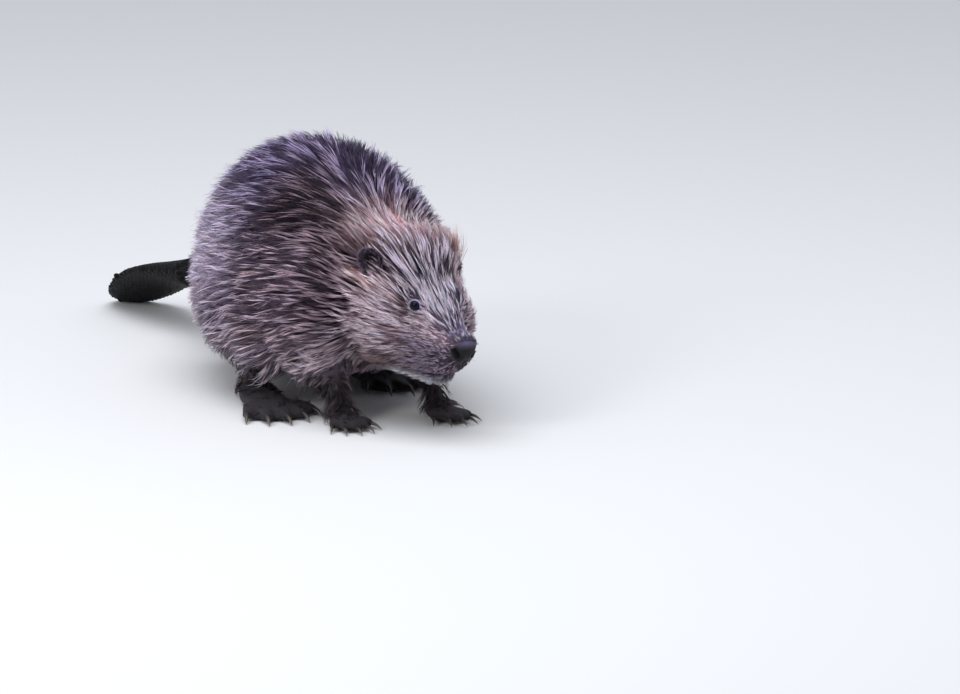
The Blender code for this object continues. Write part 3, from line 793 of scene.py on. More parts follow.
def lids(side):
    """A ring round the gaze: across it, s runs from the opening (0) to under the skin (1).

    The distance from the gaze is the opening's oval plus LID_WIDTH * s. The height along the gaze is
    the eyeball's at s = 0 and the skin's at s = 1, plus a rounded rim and a low outer fold.
    """
    gaze, nosewards, up = gaze_frame(side)
    centre = eye_centre[side]
    around, across = 72, 17
    turn = np.arange(around) / around * 2 * math.pi
    s = np.linspace(0, 1, across)[:, None]
    point = 1 + 0.16 * np.maximum(np.cos(turn), 0) ** 8 + 0.08 * np.maximum(-np.cos(turn), 0) ** 8
    oval = np.hypot(OPENING[0] * np.cos(turn), OPENING[1] * np.sin(turn)) * point
    reach = (oval + LID_WIDTH * s) * MM
    ring = nosewards * np.cos(turn)[:, None] + up * np.sin(turn)[:, None]
    outer = centre + ring * (oval[:, None] + LID_WIDTH) * MM
    gap = skin_points[None] - outer[:, None]
    nearest = np.argmin((gap ** 2).sum(axis=2) - 0.9 * (gap @ gaze) ** 2, axis=1)  # mostly sideways
    skin_height = (skin_points[nearest] - centre) @ gaze
    skin_height = sum(np.roll(skin_height, k) for k in range(-4, 5)) / 9
    ball_height = np.sqrt(np.maximum(EYE_RADIUS ** 2 - np.minimum(oval * MM, 0.97 * EYE_RADIUS) ** 2, 0))
    base = ball_height * (1 - step(s, 0, 0.9)) + (skin_height - 0.7 * MM) * step(s, 0, 0.9)
    upper = 0.5 + 0.5 * np.sin(turn)
    rim = (0.45 + 0.25 * upper) * np.sin(math.pi * np.clip(s / 0.42, 0, 1)) ** 0.8
    fold = 0.25 * np.sin(math.pi * np.clip((s - 0.35) / 0.5, 0, 1)) * (0.4 + 0.6 * upper)
    height = base + (rim + fold - 0.1) * MM
    front = centre + ring[None] * reach[:, :, None] + gaze * height[:, :, None]
    under = (height[[-1, 0]] - 1.3 * MM)[:, :, None]
    back = centre + ring[None] * reach[[-1, 0]][:, :, None] + gaze * under
    grid = np.vstack([front, back])
    rows = len(grid)
    faces = grid_faces(rows, around)
    ids = np.arange(around)
    close = np.column_stack([ids + (rows - 1) * around, np.roll(ids, -1) + (rows - 1) * around,
                             np.roll(ids, -1), ids])
    piece = outward(make_piece(side + "_lids", grid.reshape(-1, 3), np.vstack([faces, close])))
    share = np.vstack([np.broadcast_to(s, (across, around)), np.ones((1, around)), np.zeros((1, around))])
    low = np.broadcast_to(1 - upper, share.shape)
    # rims: painted sky light on the lower lid and painted shade on the upper one
    rim_colour = SHADED_UPPER_RIM + (SKY_LIT_LOWER_RIM - SHADED_UPPER_RIM) * low[:, :, None]
    wet_edge = 1 - 0.7 * (1 - step(share, 0.02, 0.12))[:, :, None]
    colour = (rim_colour + (LID_FUR - rim_colour) * step(share, 0.38, 0.62)[:, :, None]) * wet_edge
    give_colour(piece, "tint", colour.reshape(-1, 3))
    return piece


lid_rim = tinted_finish("lid_rim", 0.42, 0.5, 900.0, (0.8, 1.2), sheen=0.1, relief=(0.0003, 0.7))
for side in SIDES:
    ring = lids(side)
    ring.data.materials.append(lid_rim)
    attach(ring, "root")
    print(ring.name, len(ring.data.polygons), "faces")

# %% [markdown]
# ## Ears
# A beaver's ear is a small round cup of thin skin, dark and nearly bare inside and fuzzy on its back
# and rim. A flat disc could be bent and thickened with modifiers. One closed surface is simpler to
# steer: its profile goes out over the back, round the rim and down into the cup.

# %% Ears
EAR_HALF = (10.6, 12.2)  # half its width and half its height, in mm
EAR_TURN = {"left": (-30, 80), "right": (24, -42)}  # degrees that an ear leans out and opens outwards
EAR_TILT = -8  # degrees
EAR_BACK, EAR_INSIDE = linear(100, 88, 106), linear(12, 9, 12)


def turn_about(axis, degrees):
    """The matrix that turns about one of the three axes."""
    c, s = math.cos(math.radians(degrees)), math.sin(math.radians(degrees))
    i, j = [(1, 2), (2, 0), (0, 1)][axis]
    matrix = np.eye(3)
    matrix[[i, j], [i, j]] = c
    matrix[i, j], matrix[j, i] = -s, s
    return matrix


def ear_frame(side):
    """Where an ear stands, and its own axes as rows: to its open side, across and up."""
    lean, opened = EAR_TURN[side]
    turn = turn_about(0, lean) @ turn_about(2, opened) @ turn_about(1, EAR_TILT)
    return from_head(np.array(EAR_PLACE[side])), turn.T @ HEAD


def ear(side):
    """A cup: along its profile, s runs from the middle of the back over the rim to the cup's floor.

    The distance from the middle is sin(pi s) with a flattened top, the back bulges 6 mm, and the
    floor lies 2 mm in front of the back; the rim rolls outwards a little and dips at the bottom.
    """
    place, axes = ear_frame(side)
    rows, around = 29, 56
    s = np.linspace(0.015, 0.985, rows)[:, None]
    turn = np.arange(around) / around * 2 * math.pi
    out = np.sin(math.pi * s) ** 0.75
    front = step(s, 0.42, 0.58)
    wave = 1 + 0.035 * np.sin(3 * turn + 0.6) + 0.02 * np.sin(7 * turn)
    y = EAR_HALF[0] * out * wave * np.cos(turn)
    z = EAR_HALF[1] * out * wave * np.sin(turn) * (1 - 0.06 * np.cos(turn))
    bowl = -6.0 + 8.6 * out ** 2.4
    x = bowl + 2.0 * front * (1 - out ** 6) + 0.9 * np.exp(-((s - 0.5) / 0.05) ** 2)
    x = x - 1.2 * np.sin(turn) * out ** 2
    ridge = 1.3 * front * np.exp(-((turn - 4.1) / 0.45) ** 2) * np.exp(-((out - 0.55) / 0.2) ** 2)
    grid = np.stack([x + ridge, y, z], axis=2)
    poles = [[bowl[0, 0], 0, 0], [bowl[0, 0] + 2.0, 0, 0]]
    points = place + np.vstack([grid.reshape(-1, 3), poles]) @ axes * MM
    piece = outward(make_piece(side + "_ear_cup", points, closed_faces(rows, around)))
    inside = np.append(np.broadcast_to(front * (1 - out ** 5), (rows, around)).ravel(), [0, 1])[:, None]
    give_colour(piece, "tint", EAR_BACK * (1 - inside) + EAR_INSIDE * inside)
    return piece


ear_skin = tinted_finish("ear_skin", 0.6, 0.12, 500.0, (0.75, 1.25), sheen=0.05, relief=(0.0004, 0.7))
for side in SIDES:
    cup = ear(side)
    cup.data.materials.append(ear_skin)
    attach(cup, "root")
    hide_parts(side + "_ear")
    print(cup.name, len(cup.data.polygons), "triangles")

# %% [markdown]
# ## Claws
# A beaver digs and combs its fur with claws of brown horn that narrow and bend down to a worn, blunt
# tip. A curve with a bevel could draw them. A tube worked out in numpy does the same and closes both
# ends. Each claw is laid along its solid: the long axis of the solid's points gives its line, and the
# end nearer the heel is the root.

# %% Claws
CLAWS = range(1, 6)
CLAW_SIDES = 12
CLAW_WIDTH = {"fore": 2.1 * MM, "hind": 2.9 * MM}  # half the width at the root
CLAW_ROOT, CLAW_TIP = linear(34, 28, 27), linear(96, 82, 70)


def tube(path, width, depth, around):
    """A closed tube along a path, an oval of a given half width and half depth at each point."""
    along = unit(np.gradient(path, axis=0))
    side = unit(np.cross([0, 0, 1.0], along))
    up = np.cross(along, side)
    turn = np.arange(around) / around * 2 * math.pi
    ring = (side[:, None] * (np.cos(turn) * width[:, None])[:, :, None]
            + up[:, None] * (np.sin(turn) * depth[:, None])[:, :, None])
    points = np.vstack([(path[:, None] + ring).reshape(-1, 3), path[[0, -1]]])
    return points, closed_faces(len(path), around)


def claw(node, heel, root_width):
    """Root to tip along the solid's long axis, the width falling as 1 - 0.93 * t^1.6, arched up."""
    cloud = np.empty(len(frame["nodes"][node].data.vertices) * 3)
    frame["nodes"][node].data.vertices.foreach_get("co", cloud)
    cloud = cloud.reshape(-1, 3)
    middle_point = cloud.mean(axis=0)
    axis = np.linalg.svd(cloud - middle_point, full_matrices=False)[2][0]
    axis = axis * np.sign((middle_point - heel) @ axis)
    reach = (cloud - middle_point) @ axis
    start = middle_point + axis * (reach.min() - 1.5 * MM)
    tip = cloud[reach.argmax()]
    t = np.linspace(0, 1, 12)
    path = start + (tip - start) * t[:, None]
    path[:, 2] += 1.4 * MM * np.sin(math.pi * t) ** 1.2
    width = root_width * (1 - 0.93 * t ** 1.6)
    points, faces = tube(path, width, width * 0.82, CLAW_SIDES)
    points[:, 2] = np.maximum(points[:, 2], 0.15 * MM)
    return points, faces, np.append(np.repeat(t, CLAW_SIDES), [0, 1])


claw_horn = tinted_finish("claw_horn", 0.36, 0.5, 600.0, (0.7, 1.3), relief=(0.0002, 0.6))
for foot in FEET:
    kind = foot.replace("_foot", "_claw_")
    root_width = CLAW_WIDTH["fore" if "fore" in foot else "hind"]
    made = [claw(kind + str(number), foot_mid[foot], root_width) for number in CLAWS]
    piece = outward(make_piece(foot.replace("foot", "claws"), *joined([one[:2] for one in made])))
    worn = np.concatenate([one[2] for one in made])[:, None]
    give_colour(piece, "tint", CLAW_ROOT + (CLAW_TIP - CLAW_ROOT) * worn ** 1.5)
    piece.data.materials.append(claw_horn)
    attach(piece, "root")
    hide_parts(*[kind + str(number) for number in CLAWS])
    print(piece.name, len(piece.data.polygons), "triangles")

# %% [markdown]
# ## Scales of the tail
# The flat of the tail is covered with small horny plates in staggered rows, which overlap like tiles.
# A bumpy texture would look right only from afar. Each plate here is a closed oval, thin at its front
# edge, which lies under the row before it, and lifted at its back edge, where it catches the light.

# %% Where the scales lie
SCALE_STEP = (4.6, 4.4)  # mm between rows and between the plates of a row
SCALE_REACH = 2.2 * MM  # a plate is left out if the skin is further off than this


def scale_places():
    """Staggered rows over the top and the underside, each plate moved onto its nearest skin."""
    near = np.flatnonzero(tail_share(skin_points) > 0.9)
    low, high = skin_points[near].min(axis=0) / MM, skin_points[near].max(axis=0) / MM
    rows, columns = np.meshgrid(np.arange(low[0], high[0], SCALE_STEP[0]),
                                np.arange(low[1], high[1], SCALE_STEP[1]), indexing="ij")
    columns = columns + SCALE_STEP[1] / 2 * (np.arange(len(rows)) % 2)[:, None]
    wanted = np.column_stack([rows.ravel(), columns.ravel()]) * MM
    found = []
    for facing in (1, -1):
        sheet = near[(skin_normals[near, 2] * facing > 0.15) & (skin_normals[near, 0] > -0.8)]
        gap = ((wanted[:, None] - skin_points[sheet][None, :, :2]) ** 2).sum(axis=2)
        close = gap.min(axis=1) < SCALE_REACH ** 2
        found.append(sheet[gap.argmin(axis=1)[close]])
    return np.unique(np.concatenate(found))


places = scale_places()
print("plates on both sides of the tail:", len(places))

# %% [markdown]
# The plates are near-copies of one shape, so it is worked out once and carried to every place at
# once. Instances of one object would be lighter, but they couldn't follow the round of the tail, and
# each plate should differ a little in size and shade.

# %% Tail scales
SCALE_HALF = (3.9, 2.55)  # half length and half width of a plate


def scales(places):
    """Closed plates: an oval rim of ten points, a top that rises to 0.55 mm and a flat underside."""
    normals = skin_normals[places]
    back = unit(np.array([-1.0, 0, 0]) - normals * (normals @ [-1.0, 0, 0])[:, None])
    across = np.cross(normals, back)
    around = 10
    turn = np.arange(around) / around * 2 * math.pi
    long = SCALE_HALF[0] * np.sign(np.cos(turn)) * np.abs(np.cos(turn)) ** 0.8
    wide = SCALE_HALF[1] * np.sin(turn)
    lift = 0.10 + 0.24 * long / SCALE_HALF[0]
    rings = [(0.78, lift + 0.28), (1.0, lift), (0.96, lift - 0.75)]
    shape = np.vstack([np.column_stack([long * k, wide * k, height]) for k, height in rings]
                      + [[[0, 0, 0.55]], [[0, 0, -0.75]]]) * MM
    size = chance.uniform(0.92, 1.1, (len(places), 1, 1))
    points = (shape[None, :, :1] * back[:, None] + shape[None, :, 1:2] * across[:, None]) * size
    points = skin_points[places][:, None] + points + shape[None, :, 2:] * normals[:, None]
    points[:, :, 2] = np.maximum(points[:, :, 2], 0.2 * MM)
    ids, after = np.arange(around), np.roll(np.arange(around), -1)
    faces = [np.column_stack([ids, after, np.full(around, 3 * around)])]
    for ring in (0, 1):
        a, b = ring * around, (ring + 1) * around
        faces.append(np.column_stack([a + ids, b + ids, b + after]))
        faces.append(np.column_stack([a + ids, b + after, a + after]))
    faces.append(np.column_stack([2 * around + after, 2 * around + ids, np.full(around, 3 * around + 1)]))
    faces = np.vstack(faces)
    per = shape.shape[0]
    faces = (faces[None] + np.arange(len(places))[:, None, None] * per).reshape(-1, 3)
    piece = make_piece("tail_scales", points.reshape(-1, 3), faces)
    shade = linear(13, 12, 15) * chance.uniform(0.6, 1.5, (len(places), 1, 1))
    edge = np.append(np.repeat([1.0, 1.7, 0.5], around), [0.8, 0.5])[None, :, None]
    give_colour(piece, "tint", (shade * edge).reshape(-1, 3))
    return piece


plates = scales(places)
plates.data.materials.append(
    tinted_finish("scaly_hide", 0.55, 0.10, 500.0, (0.7, 1.3), relief=(0.0003, 0.6)))
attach(plates, "root")
print("tail scales:", len(plates.data.polygons), "triangles")

# %% [markdown]
# ## How the hair lies
# Hair points away from the nose: back over the head and body, a little outwards over the shoulders,
# down on the low flanks and the legs, and away from the eyes and ears. It could be combed by hand
# with brushes. Here the direction is worked out for every root from its place and then laid flat on
# the skin, so that the coat can be grown again after any change to the skin.

# %% The lie of the coat
def lie_of_coat(points, normals):
    """The direction, along the skin, that hair at each point leans to."""
    h = head_mm(points)
    p = trunk_mm(points)
    spread = np.tanh(p[:, 1] / 40)
    shoulder = step(p[:, 0], -120, 110)
    low = 1 - step(p[:, 2], 60, 170)
    outwards = spread * (0.2 + 0.55 * shoulder) * (1 - low)
    body = np.column_stack([-np.ones(len(p)), outwards, -0.1 - 0.3 * low])
    side = np.tanh(h[:, 1] / 18)
    brow = step(h[:, 2], 0, 22)
    cheek = 1 - brow
    head = np.column_stack([-np.ones(len(h)), side * (0.10 + 0.22 * brow), -0.16 * cheek + 0.25 * brow])
    eye_gap = mirrored(h) - EYE_PLACE
    near_eye = np.exp(-np.sum(eye_gap ** 2, axis=1) / 14 ** 2)
    away = unit(eye_gap)
    away[:, 1] *= np.sign(h[:, 1])
    head = head + 0.9 * near_eye[:, None] * away
    for place in EAR_PLACE.values():
        gap = h - place
        head = head + 1.3 * np.exp(-np.sum(gap ** 2, axis=1) / 19 ** 2)[:, None] * unit(gap)
    head = unit(head) @ HEAD
    on_head = step(h[:, 0], -185, -135)[:, None]
    way = unit(body) * (1 - on_head) + head * on_head
    down = np.array([-0.45, 0, -1.0])
    way = way + (down - way) * leg_share(points)[:, None]
    way = way - normals * np.sum(way * normals, axis=1, keepdims=True)
    return unit(way)


print("hair on the back leans", lie_of_coat(on_the_back, np.array([[0, 0, 1.0]])).round(2))

# %% [markdown]
# Hair follows the round of the body, so each hair needs to know how high it is above the skin. A
# search tree could look it up point by point. A coarse grid of cells that remember their nearest
# skin vertex answers for a whole piece at once. It starts with the cells that the skin passes
# through, and every round lets each cell take a nearer vertex over from its neighbours.

# %% A map of the nearest skin
CELL = 4.0 * MM
MAP_MARGIN = 30 * MM
MAP_ROUNDS = 9
MAP_LOW = skin_points.min(axis=0) - MAP_MARGIN
map_size = np.ceil((skin_points.max(axis=0) + MAP_MARGIN - MAP_LOW) / CELL).astype(int)
nearest_skin = np.full(map_size, -1)
nearest_skin[tuple(((skin_points - MAP_LOW) / CELL).astype(int).T)] = np.arange(len(skin_points))
centres = np.stack(np.meshgrid(*[np.arange(n) for n in map_size], indexing="ij"), axis=-1)
centres = ((centres + 0.5) * CELL + MAP_LOW).astype(np.float32)
light_points = skin_points.astype(np.float32)


def gap_to(vertex):
    """The squared distance from every cell to the vertex it remembers, or a large one for none."""
    gap = np.sum((centres - light_points[vertex]) ** 2, axis=-1)
    return np.where(vertex < 0, np.float32(1.0), gap)


gap = gap_to(nearest_skin)
for _ in range(MAP_ROUNDS):
    for axis in range(3):
        for way_along in (1, -1):
            offer = np.roll(nearest_skin, way_along, axis)
            offer_gap = gap_to(offer)
            better = offer_gap < gap
            nearest_skin = np.where(better, offer, nearest_skin)
            gap = np.where(better, offer_gap, gap)
del centres, gap


def above_skin(points):
    """The height of points above the tangent plane of their nearest skin vertex, and its normal."""
    cell = np.clip(((points - MAP_LOW) / CELL).astype(int), 0, map_size - 1)
    vertex = nearest_skin[tuple(cell.T)]
    assert vertex.min() >= 0, "a hair reaches out of the map"
    normal = skin_normals[vertex]
    return np.sum((points - skin_points[vertex]) * normal, axis=1), normal


print("map of", nearest_skin.size, "cells")

# %% [markdown]
# ## Locks of hair
# On a live coat the hairs stick together in locks that taper to a point, and it is the locks that
# the eye sees. Particle hair would be quick to comb, but it isn't a surface and can't be exported.
# So each lock is a few thin three-sided spikes, closed at the root. They start round the lock's root
# and come closer together towards the tip.

# %% Roots and faces
def sample_roots(surface, chosen, count):
    """Random places on the chosen triangles, as many per area as the weight of each says."""
    points, triangles, normals = surface
    a, b, c = (points[triangles[:, k]] for k in range(3))
    area = np.linalg.norm(np.cross(b - a, c - a), axis=1) * chosen
    pick = chance.choice(len(area), count, p=area / area.sum())
    u, v = chance.random((2, count))
    flip = u + v > 1
    u[flip], v[flip] = 1 - u[flip], 1 - v[flip]
    weights = np.stack([1 - u - v, u, v], axis=1)[:, :, None]
    corners = triangles[pick]
    return (points[corners] * weights).sum(axis=1), unit((normals[corners] * weights).sum(axis=1))


def hair_faces(rings, count):
    """The triangles of closed three-sided spikes: a cap at the root, bands, and a pointed tip."""
    per = 3 * rings + 1
    faces = [(0, 2, 1)]
    for ring in range(rings - 1):
        for k in range(3):
            a, b = 3 * ring + k, 3 * ring + (k + 1) % 3
            faces += [(a, b, b + 3), (a, b + 3, a + 3)]
    last = 3 * (rings - 1)
    faces += [(last + k, last + (k + 1) % 3, per - 1) for k in range(3)]
    return (np.array(faces)[None] + np.arange(count)[:, None, None] * per).reshape(-1, 3)


print("a hair of three rings has", len(hair_faces(3, 1)), "triangles")

# %% [markdown]
# Each hair of a wild beaver is dark at the root and lighter towards the tip, and a few are bleached
# almost white. A colour ramp along the hair could do this, but it would be the same everywhere. The
# colour of each point is worked out from the markings instead, and every lock and hair differs a
# little from its neighbours.

# %% Colour from root to tip
def hair_tint(shades, streak, along, locks, hairs):
    """The colour of each point of each hair, from its deep root to its middle or pale tip.

    A hair of a pale lock takes most of the pale colour at its tip, any other hair little of it. Each
    lock and each hair is then made lighter or darker, and each lock a little warmer or cooler.
    """
    count = len(shades)
    mostly, little = chance.beta(5.0, 1.0, count), 0.3 * chance.beta(0.5, 3.5, count)
    pale = np.where(streak > 0.5, mostly, little)[:, None]
    tip = shades[:, 1] * (1 - pale) + shades[:, 2] * pale
    mix = step(along, 0.05, 0.75)[None, :, None]
    tint = shades[:, 0][:, None] * (1 - mix) + tip[:, None] * mix
    each_hair = chance.uniform(0.8, 1.2, count)
    each_lock = np.repeat(chance.uniform(0.75, 1.20, locks), hairs)
    tint *= (each_hair * each_lock)[:, None, None]
    warm = np.repeat(chance.normal(0, 0.035, locks), hairs)[:, None, None]
    return tint * (1 + warm * [1.0, 0.0, -1.0])


print("a hair on the back starts", markings(on_the_back)[0, 0].round(3), "at its root")

# %% [markdown]
# A hair starts out flat on the skin and is then lifted to its own height above it, ring by ring, so
# it never dives into a round flank. Every hair of a piece is worked out at once, as one array. No two
# hairs are alike, because length, height and place in the lock are all drawn at random.

# %% Grow locks
ROOT_DEPTH = 0.6 * MM  # every hair starts this far under the skin
HAIR_FLOOR = 0.6 * MM  # no hair hangs lower than this above the floor


def grow(name, roots, normals, way, style, rings, hairs, unwrap, material, colours=None):
    """Hairs as closed three-sided spikes that carry a root-to-tip colour.

    Each row of style is one lock's length, height, rise, width, radius, gather, sway and share of
    pale hairs. At t from root to tip a hair is first at: lock root + offset * (1 - (1 - gather) * t)
    + length * lie * t + sideways * sway * length * t * t. It is then moved to its own height above
    the skin, which is height * (1 - (1 - t) ** rise), so that it follows the round of the body.
    """
    locks = len(roots)
    on_skin = colours is None  # only the skin is in the map, the ears aren't
    lock = np.repeat(np.arange(locks), hairs)
    count = len(lock)
    way, normals, roots = way[lock], normals[lock], roots[lock]
    length, height, rise, width, radius, gather, sway, streak = style[lock].T
    across = np.cross(normals, way)
    out = radius * np.sqrt(chance.random(count)) * MM
    angle = chance.random(count) * 2 * math.pi
    offset = (way * np.cos(angle)[:, None] + across * np.sin(angle)[:, None]) * out[:, None]
    length = length * chance.uniform(0.70, 1.12, count) * MM
    height = height * chance.uniform(0.70, 1.20, count) * MM
    drift = (sway * (chance.normal(0, 1, count) + np.repeat(chance.normal(0, 1, locks), hairs)))[:, None]
    t = np.linspace(0, 1, rings + 1)[:-1] ** 0.9
    half = 0.5 * width * chance.uniform(0.75, 1.2, count) * MM
    places = []
    for at in np.append(t, 1.0):
        line = (roots + offset * (1 - (1 - gather[:, None]) * at)
                + length[:, None] * (way * at + across * drift * at * at))
        wanted = height * (1 - (1 - at) ** rise) - (ROOT_DEPTH if at == 0 else 0)
        if at > 0 and on_skin:
            now, skin_up = above_skin(line)
            line = line + skin_up * np.clip(wanted - now, -20 * MM, 20 * MM)[:, None]
        else:
            line = line + normals * wanted[:, None]
        if at == 1.0:
            places.append(line)
            continue
        thick = half * (0.8 + 0.9 * at - 1.25 * at * at)
        for x, y in ((-1, -0.35), (1, -0.35), (0, 0.7)):
            places.append(line + (across * x + normals * y) * thick[:, None])
    points = np.stack(places, axis=1)
    points[:, :, 2] = np.maximum(points[:, :, 2], HAIR_FLOOR)
    faces = hair_faces(rings, count)
    piece = make_piece(name, points.reshape(-1, 3), faces)
    along = np.append(np.repeat(t, 3), 1.0)
    shades = markings(roots) if on_skin else np.broadcast_to(colours, (count, 3, 3))
    give_colour(piece, "tint", hair_tint(shades, streak, along, locks, hairs).reshape(-1, 3))
    across_patch = np.append(np.tile([-0.5, 0.5, 0.0], rings), 0.0)
    patch = np.stack([across_patch, along - 0.5], axis=1) * 0.003
    uv = (unwrap(roots)[:, None] * 0.99 + 0.005 + patch[None]).reshape(-1, 2)
    layer = piece.data.uv_layers.new(name="OFBake")
    layer.data.foreach_set("uv", uv[faces.ravel()].astype(np.float32).ravel())
    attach(piece, "root")
    piece.data.materials.append(material)
    return piece


# %% [markdown]
# The coat isn't the same all over: long and smooth on the forehead, lifted on the crown, short and
# close round the muzzle and the eyes. Length and lean could be painted as weights. One table of
# places holds them all instead, laid over one another as in the markings, so that they stay together
# and can be read.

# %% Length and lean by place
def coat_style(points):
    """For each root: length, height, rise, width, lock radius, gather, sway and pale (see grow)."""
    h = head_mm(points)
    f = mirrored(h)
    p = trunk_mm(points)
    on_head = step(h[:, 0], -200, -150)
    front = step(p[:, 0], 20, 90) * (1 - on_head)
    shoulders = step(p[:, 0], 100, 140) * (1 - on_head)
    forehead = on_head * step(f[:, 2] - 0.25 * f[:, 1], 8, 26) * step(-h[:, 0], 26, 50)
    places = [  # share, then length, height, rise, width, lock radius, gather, sway and pale
        ("body", np.ones(len(p)), 34, 10.0, 1.6, 0.58, 2.2, 0.40, 0.05, 0.22),
        ("top of the back", step(p[:, 2], 110, 220), 31, 12.5, 1.3, 0.56, 2.2, 0.50, 0.07, 0.18),
        ("low flanks", 1 - step(p[:, 2], 50, 110), 30, 9.0, 1.6, 0.60, 2.4, 0.50, 0.09, 0.18),
        ("front", front, 34, 10.0, 1.6, 0.54, 2.1, 0.45, 0.05, 0.18),
        ("shoulders", shoulders, 34, 10.0, 1.6, 0.54, 2.1, 0.45, 0.05, 0.085),
        ("head", on_head, 26, 7.0, 1.7, 0.52, 1.8, 0.12, 0.05, 0.44),
        ("crown", spot(f, (-150, 0, 60), (32, 52, 24)), 30, 16.0, 1.1, 0.50, 1.9, 0.30, 0.08, 0.55),
        ("forehead", forehead, 38, 6.0, 1.9, 0.60, 2.2, 0.02, 0.02, 0.38),
        ("left of the crown", spot(h, (-134, 52, 40), (30, 18, 22)),
         26, 17.0, 1.0, 0.50, 2.0, 0.30, 0.08, 0.55),
        ("behind the brow", spot(f, (-106, 42, 37), (14, 12, 12)),
         11, 3.5, 1.6, 0.46, 1.6, 0.30, 0.06, 0.35),
        ("muzzle", step(h[:, 0], -75, -30), 11, 2.0, 1.8, 0.34, 1.1, 0.45, 0.10, 0.35),
        ("bridge", bridge_share(f), 26, 3.6, 1.7, 0.52, 2.0, 0.02, 0.02, 0.54),
        ("chin", spot(f, (-48, 0, -54), (30, 26, 16)), 13, 4.5, 1.4, 0.40, 1.5, 0.40, 0.14, 0.50),
        ("round the eyes", spot(f, EYE_PLACE, (11, 11, 11)), 6, 1.4, 1.8, 0.34, 1.1, 0.60, 0.05, 0.30),
        ("left brow", spot(h, (-53, 20, 22), (9, 6, 7)), 20, 12.0, 1.2, 0.52, 2.0, 0.20, 0.06, 0.45),
        ("left cheek", spot(h, (-46, 33, 4), (18, 10, 15)), 12, 1.6, 1.8, 0.40, 1.1, 0.45, 0.10, 0.35),
        ("round the nose", step(f[:, 0], -27, -15), 5.0, 1.2, 1.8, 0.28, 0.9, 0.60, 0.10, 0.25),
        ("mouth", groove(f, *MOUTH, 4.0), 4.0, 1.0, 1.8, 0.30, 0.9, 0.60, 0.08, 0.10),
        ("legs", leg_share(points), 20, 5.5, 1.5, 0.50, 2.0, 0.50, 0.10, 0.22),
        ("tail root", step(-p[:, 0], 205, 262), 12, 4.0, 1.8, 0.50, 1.8, 0.50, 0.08, 0.20),
        ("feet", foot_share(points), 6, 1.6, 1.8, 0.36, 1.2, 0.50, 0.10, 0.20),
    ]
    style = np.zeros((len(points), 8))
    for _, share, *values in places:
        style += (np.array(values) - style) * share[:, None]
    return style


def turn_unwrap(centre, axis, start, end):
    """Unrolls the skin round an axis: the angle about it and the distance along it, both 0 to 1."""
    axis = unit(np.asarray(axis, float))
    level = unit(np.cross([0, 0, 1.0], axis))
    up = np.cross(axis, level)

    def places(points):
        """Where each point lies in the unrolled square."""
        away = points - centre
        angle = np.arctan2(away @ level, -(away @ up)) / (2 * math.pi) + 0.5
        return np.column_stack([angle, np.clip((away @ axis / MM - start) / (end - start), 0, 1)])
    return places


print("style on the back:", coat_style(on_the_back)[0].round(2))

# %% [markdown]
# Bare places are left free: the nose pad, the feet, the tail, a ring round each eye and the front of
# each ear. The rest is split into pieces that each stay light enough to export: face, head, flanks,
# rump and underside. Each triangle of the skin belongs to one of them by where its middle lies.

# %% Where hair grows
BARE_EYE = (6.8, 8.0)  # mm from the eye where hair begins and where it is full
BARE_EAR = {"left": 6, "right": 10}  # mm round the front of the ear
FACE_END, HEAD_END = -92, -185  # mm ahead of the nose tip, so behind it
UNDER_TOP = 62  # mm above the floor
RUMP_START = -85  # mm ahead of the trunk's middle, so behind it
skin_surface = (skin_points, skin_triangles, skin_normals)
tri_middle = skin_points[skin_triangles].mean(axis=1)
tri_h = head_mm(tri_middle)
tri_p = trunk_mm(tri_middle)
tri_f = mirrored(tri_h)
pad_share = nose_share[skin_triangles].mean(axis=1)
denser = 1 + 2 * step(tri_f[:, 0], -60, -30) + 4 * step(tri_f[:, 0], -26, -16)  # where hair is short
furry = (1 - step(pad_share, 0.3, 0.9)) * denser
furry *= 1 - tail_share(tri_middle)
furry *= 1 - foot_share(tri_middle)
furry *= step(np.linalg.norm(tri_f - EYE_PLACE, axis=1), *BARE_EYE)
for side, bare_radius in BARE_EAR.items():
    front_of_ear = np.array(EAR_PLACE[side]) + [6, 0, -2]
    furry *= step(np.linalg.norm(tri_h - front_of_ear, axis=1), bare_radius, bare_radius + 3)
is_face = tri_h[:, 0] > FACE_END
is_head = (tri_h[:, 0] > HEAD_END) & ~is_face
is_body = ~is_face & ~is_head
is_under = is_body & (tri_p[:, 2] < UNDER_TOP)
is_rump = is_body & ~is_under & (tri_p[:, 0] < RUMP_START)
is_flank = is_body & ~is_under & ~is_rump
right_side, left_side = tri_p[:, 1] <= 0, tri_p[:, 1] > 0
print("triangles of face, head and body:", is_face.sum(), is_head.sum(), is_body.sum())

# %% [markdown]
# A beaver's coat has two layers: guard hair outside and, under it, wool so dense that no skin shows.
# The guard hair is grown piece by piece, and then shorter wool in bigger locks fills the gaps.
# A lock of pale hairs stands a little higher and slimmer, as bleached tips do. Fewer and thicker
# hairs would be lighter, but they would look like straw.

# %% Guard hair and wool
trunk_unwrap = turn_unwrap(trunk_mid + [0, 0, 0.12], (1, 0, 0), -300, 260)
head_unwrap = turn_unwrap(from_head((-60, 0, -5)), HEAD[0], -150, 70)
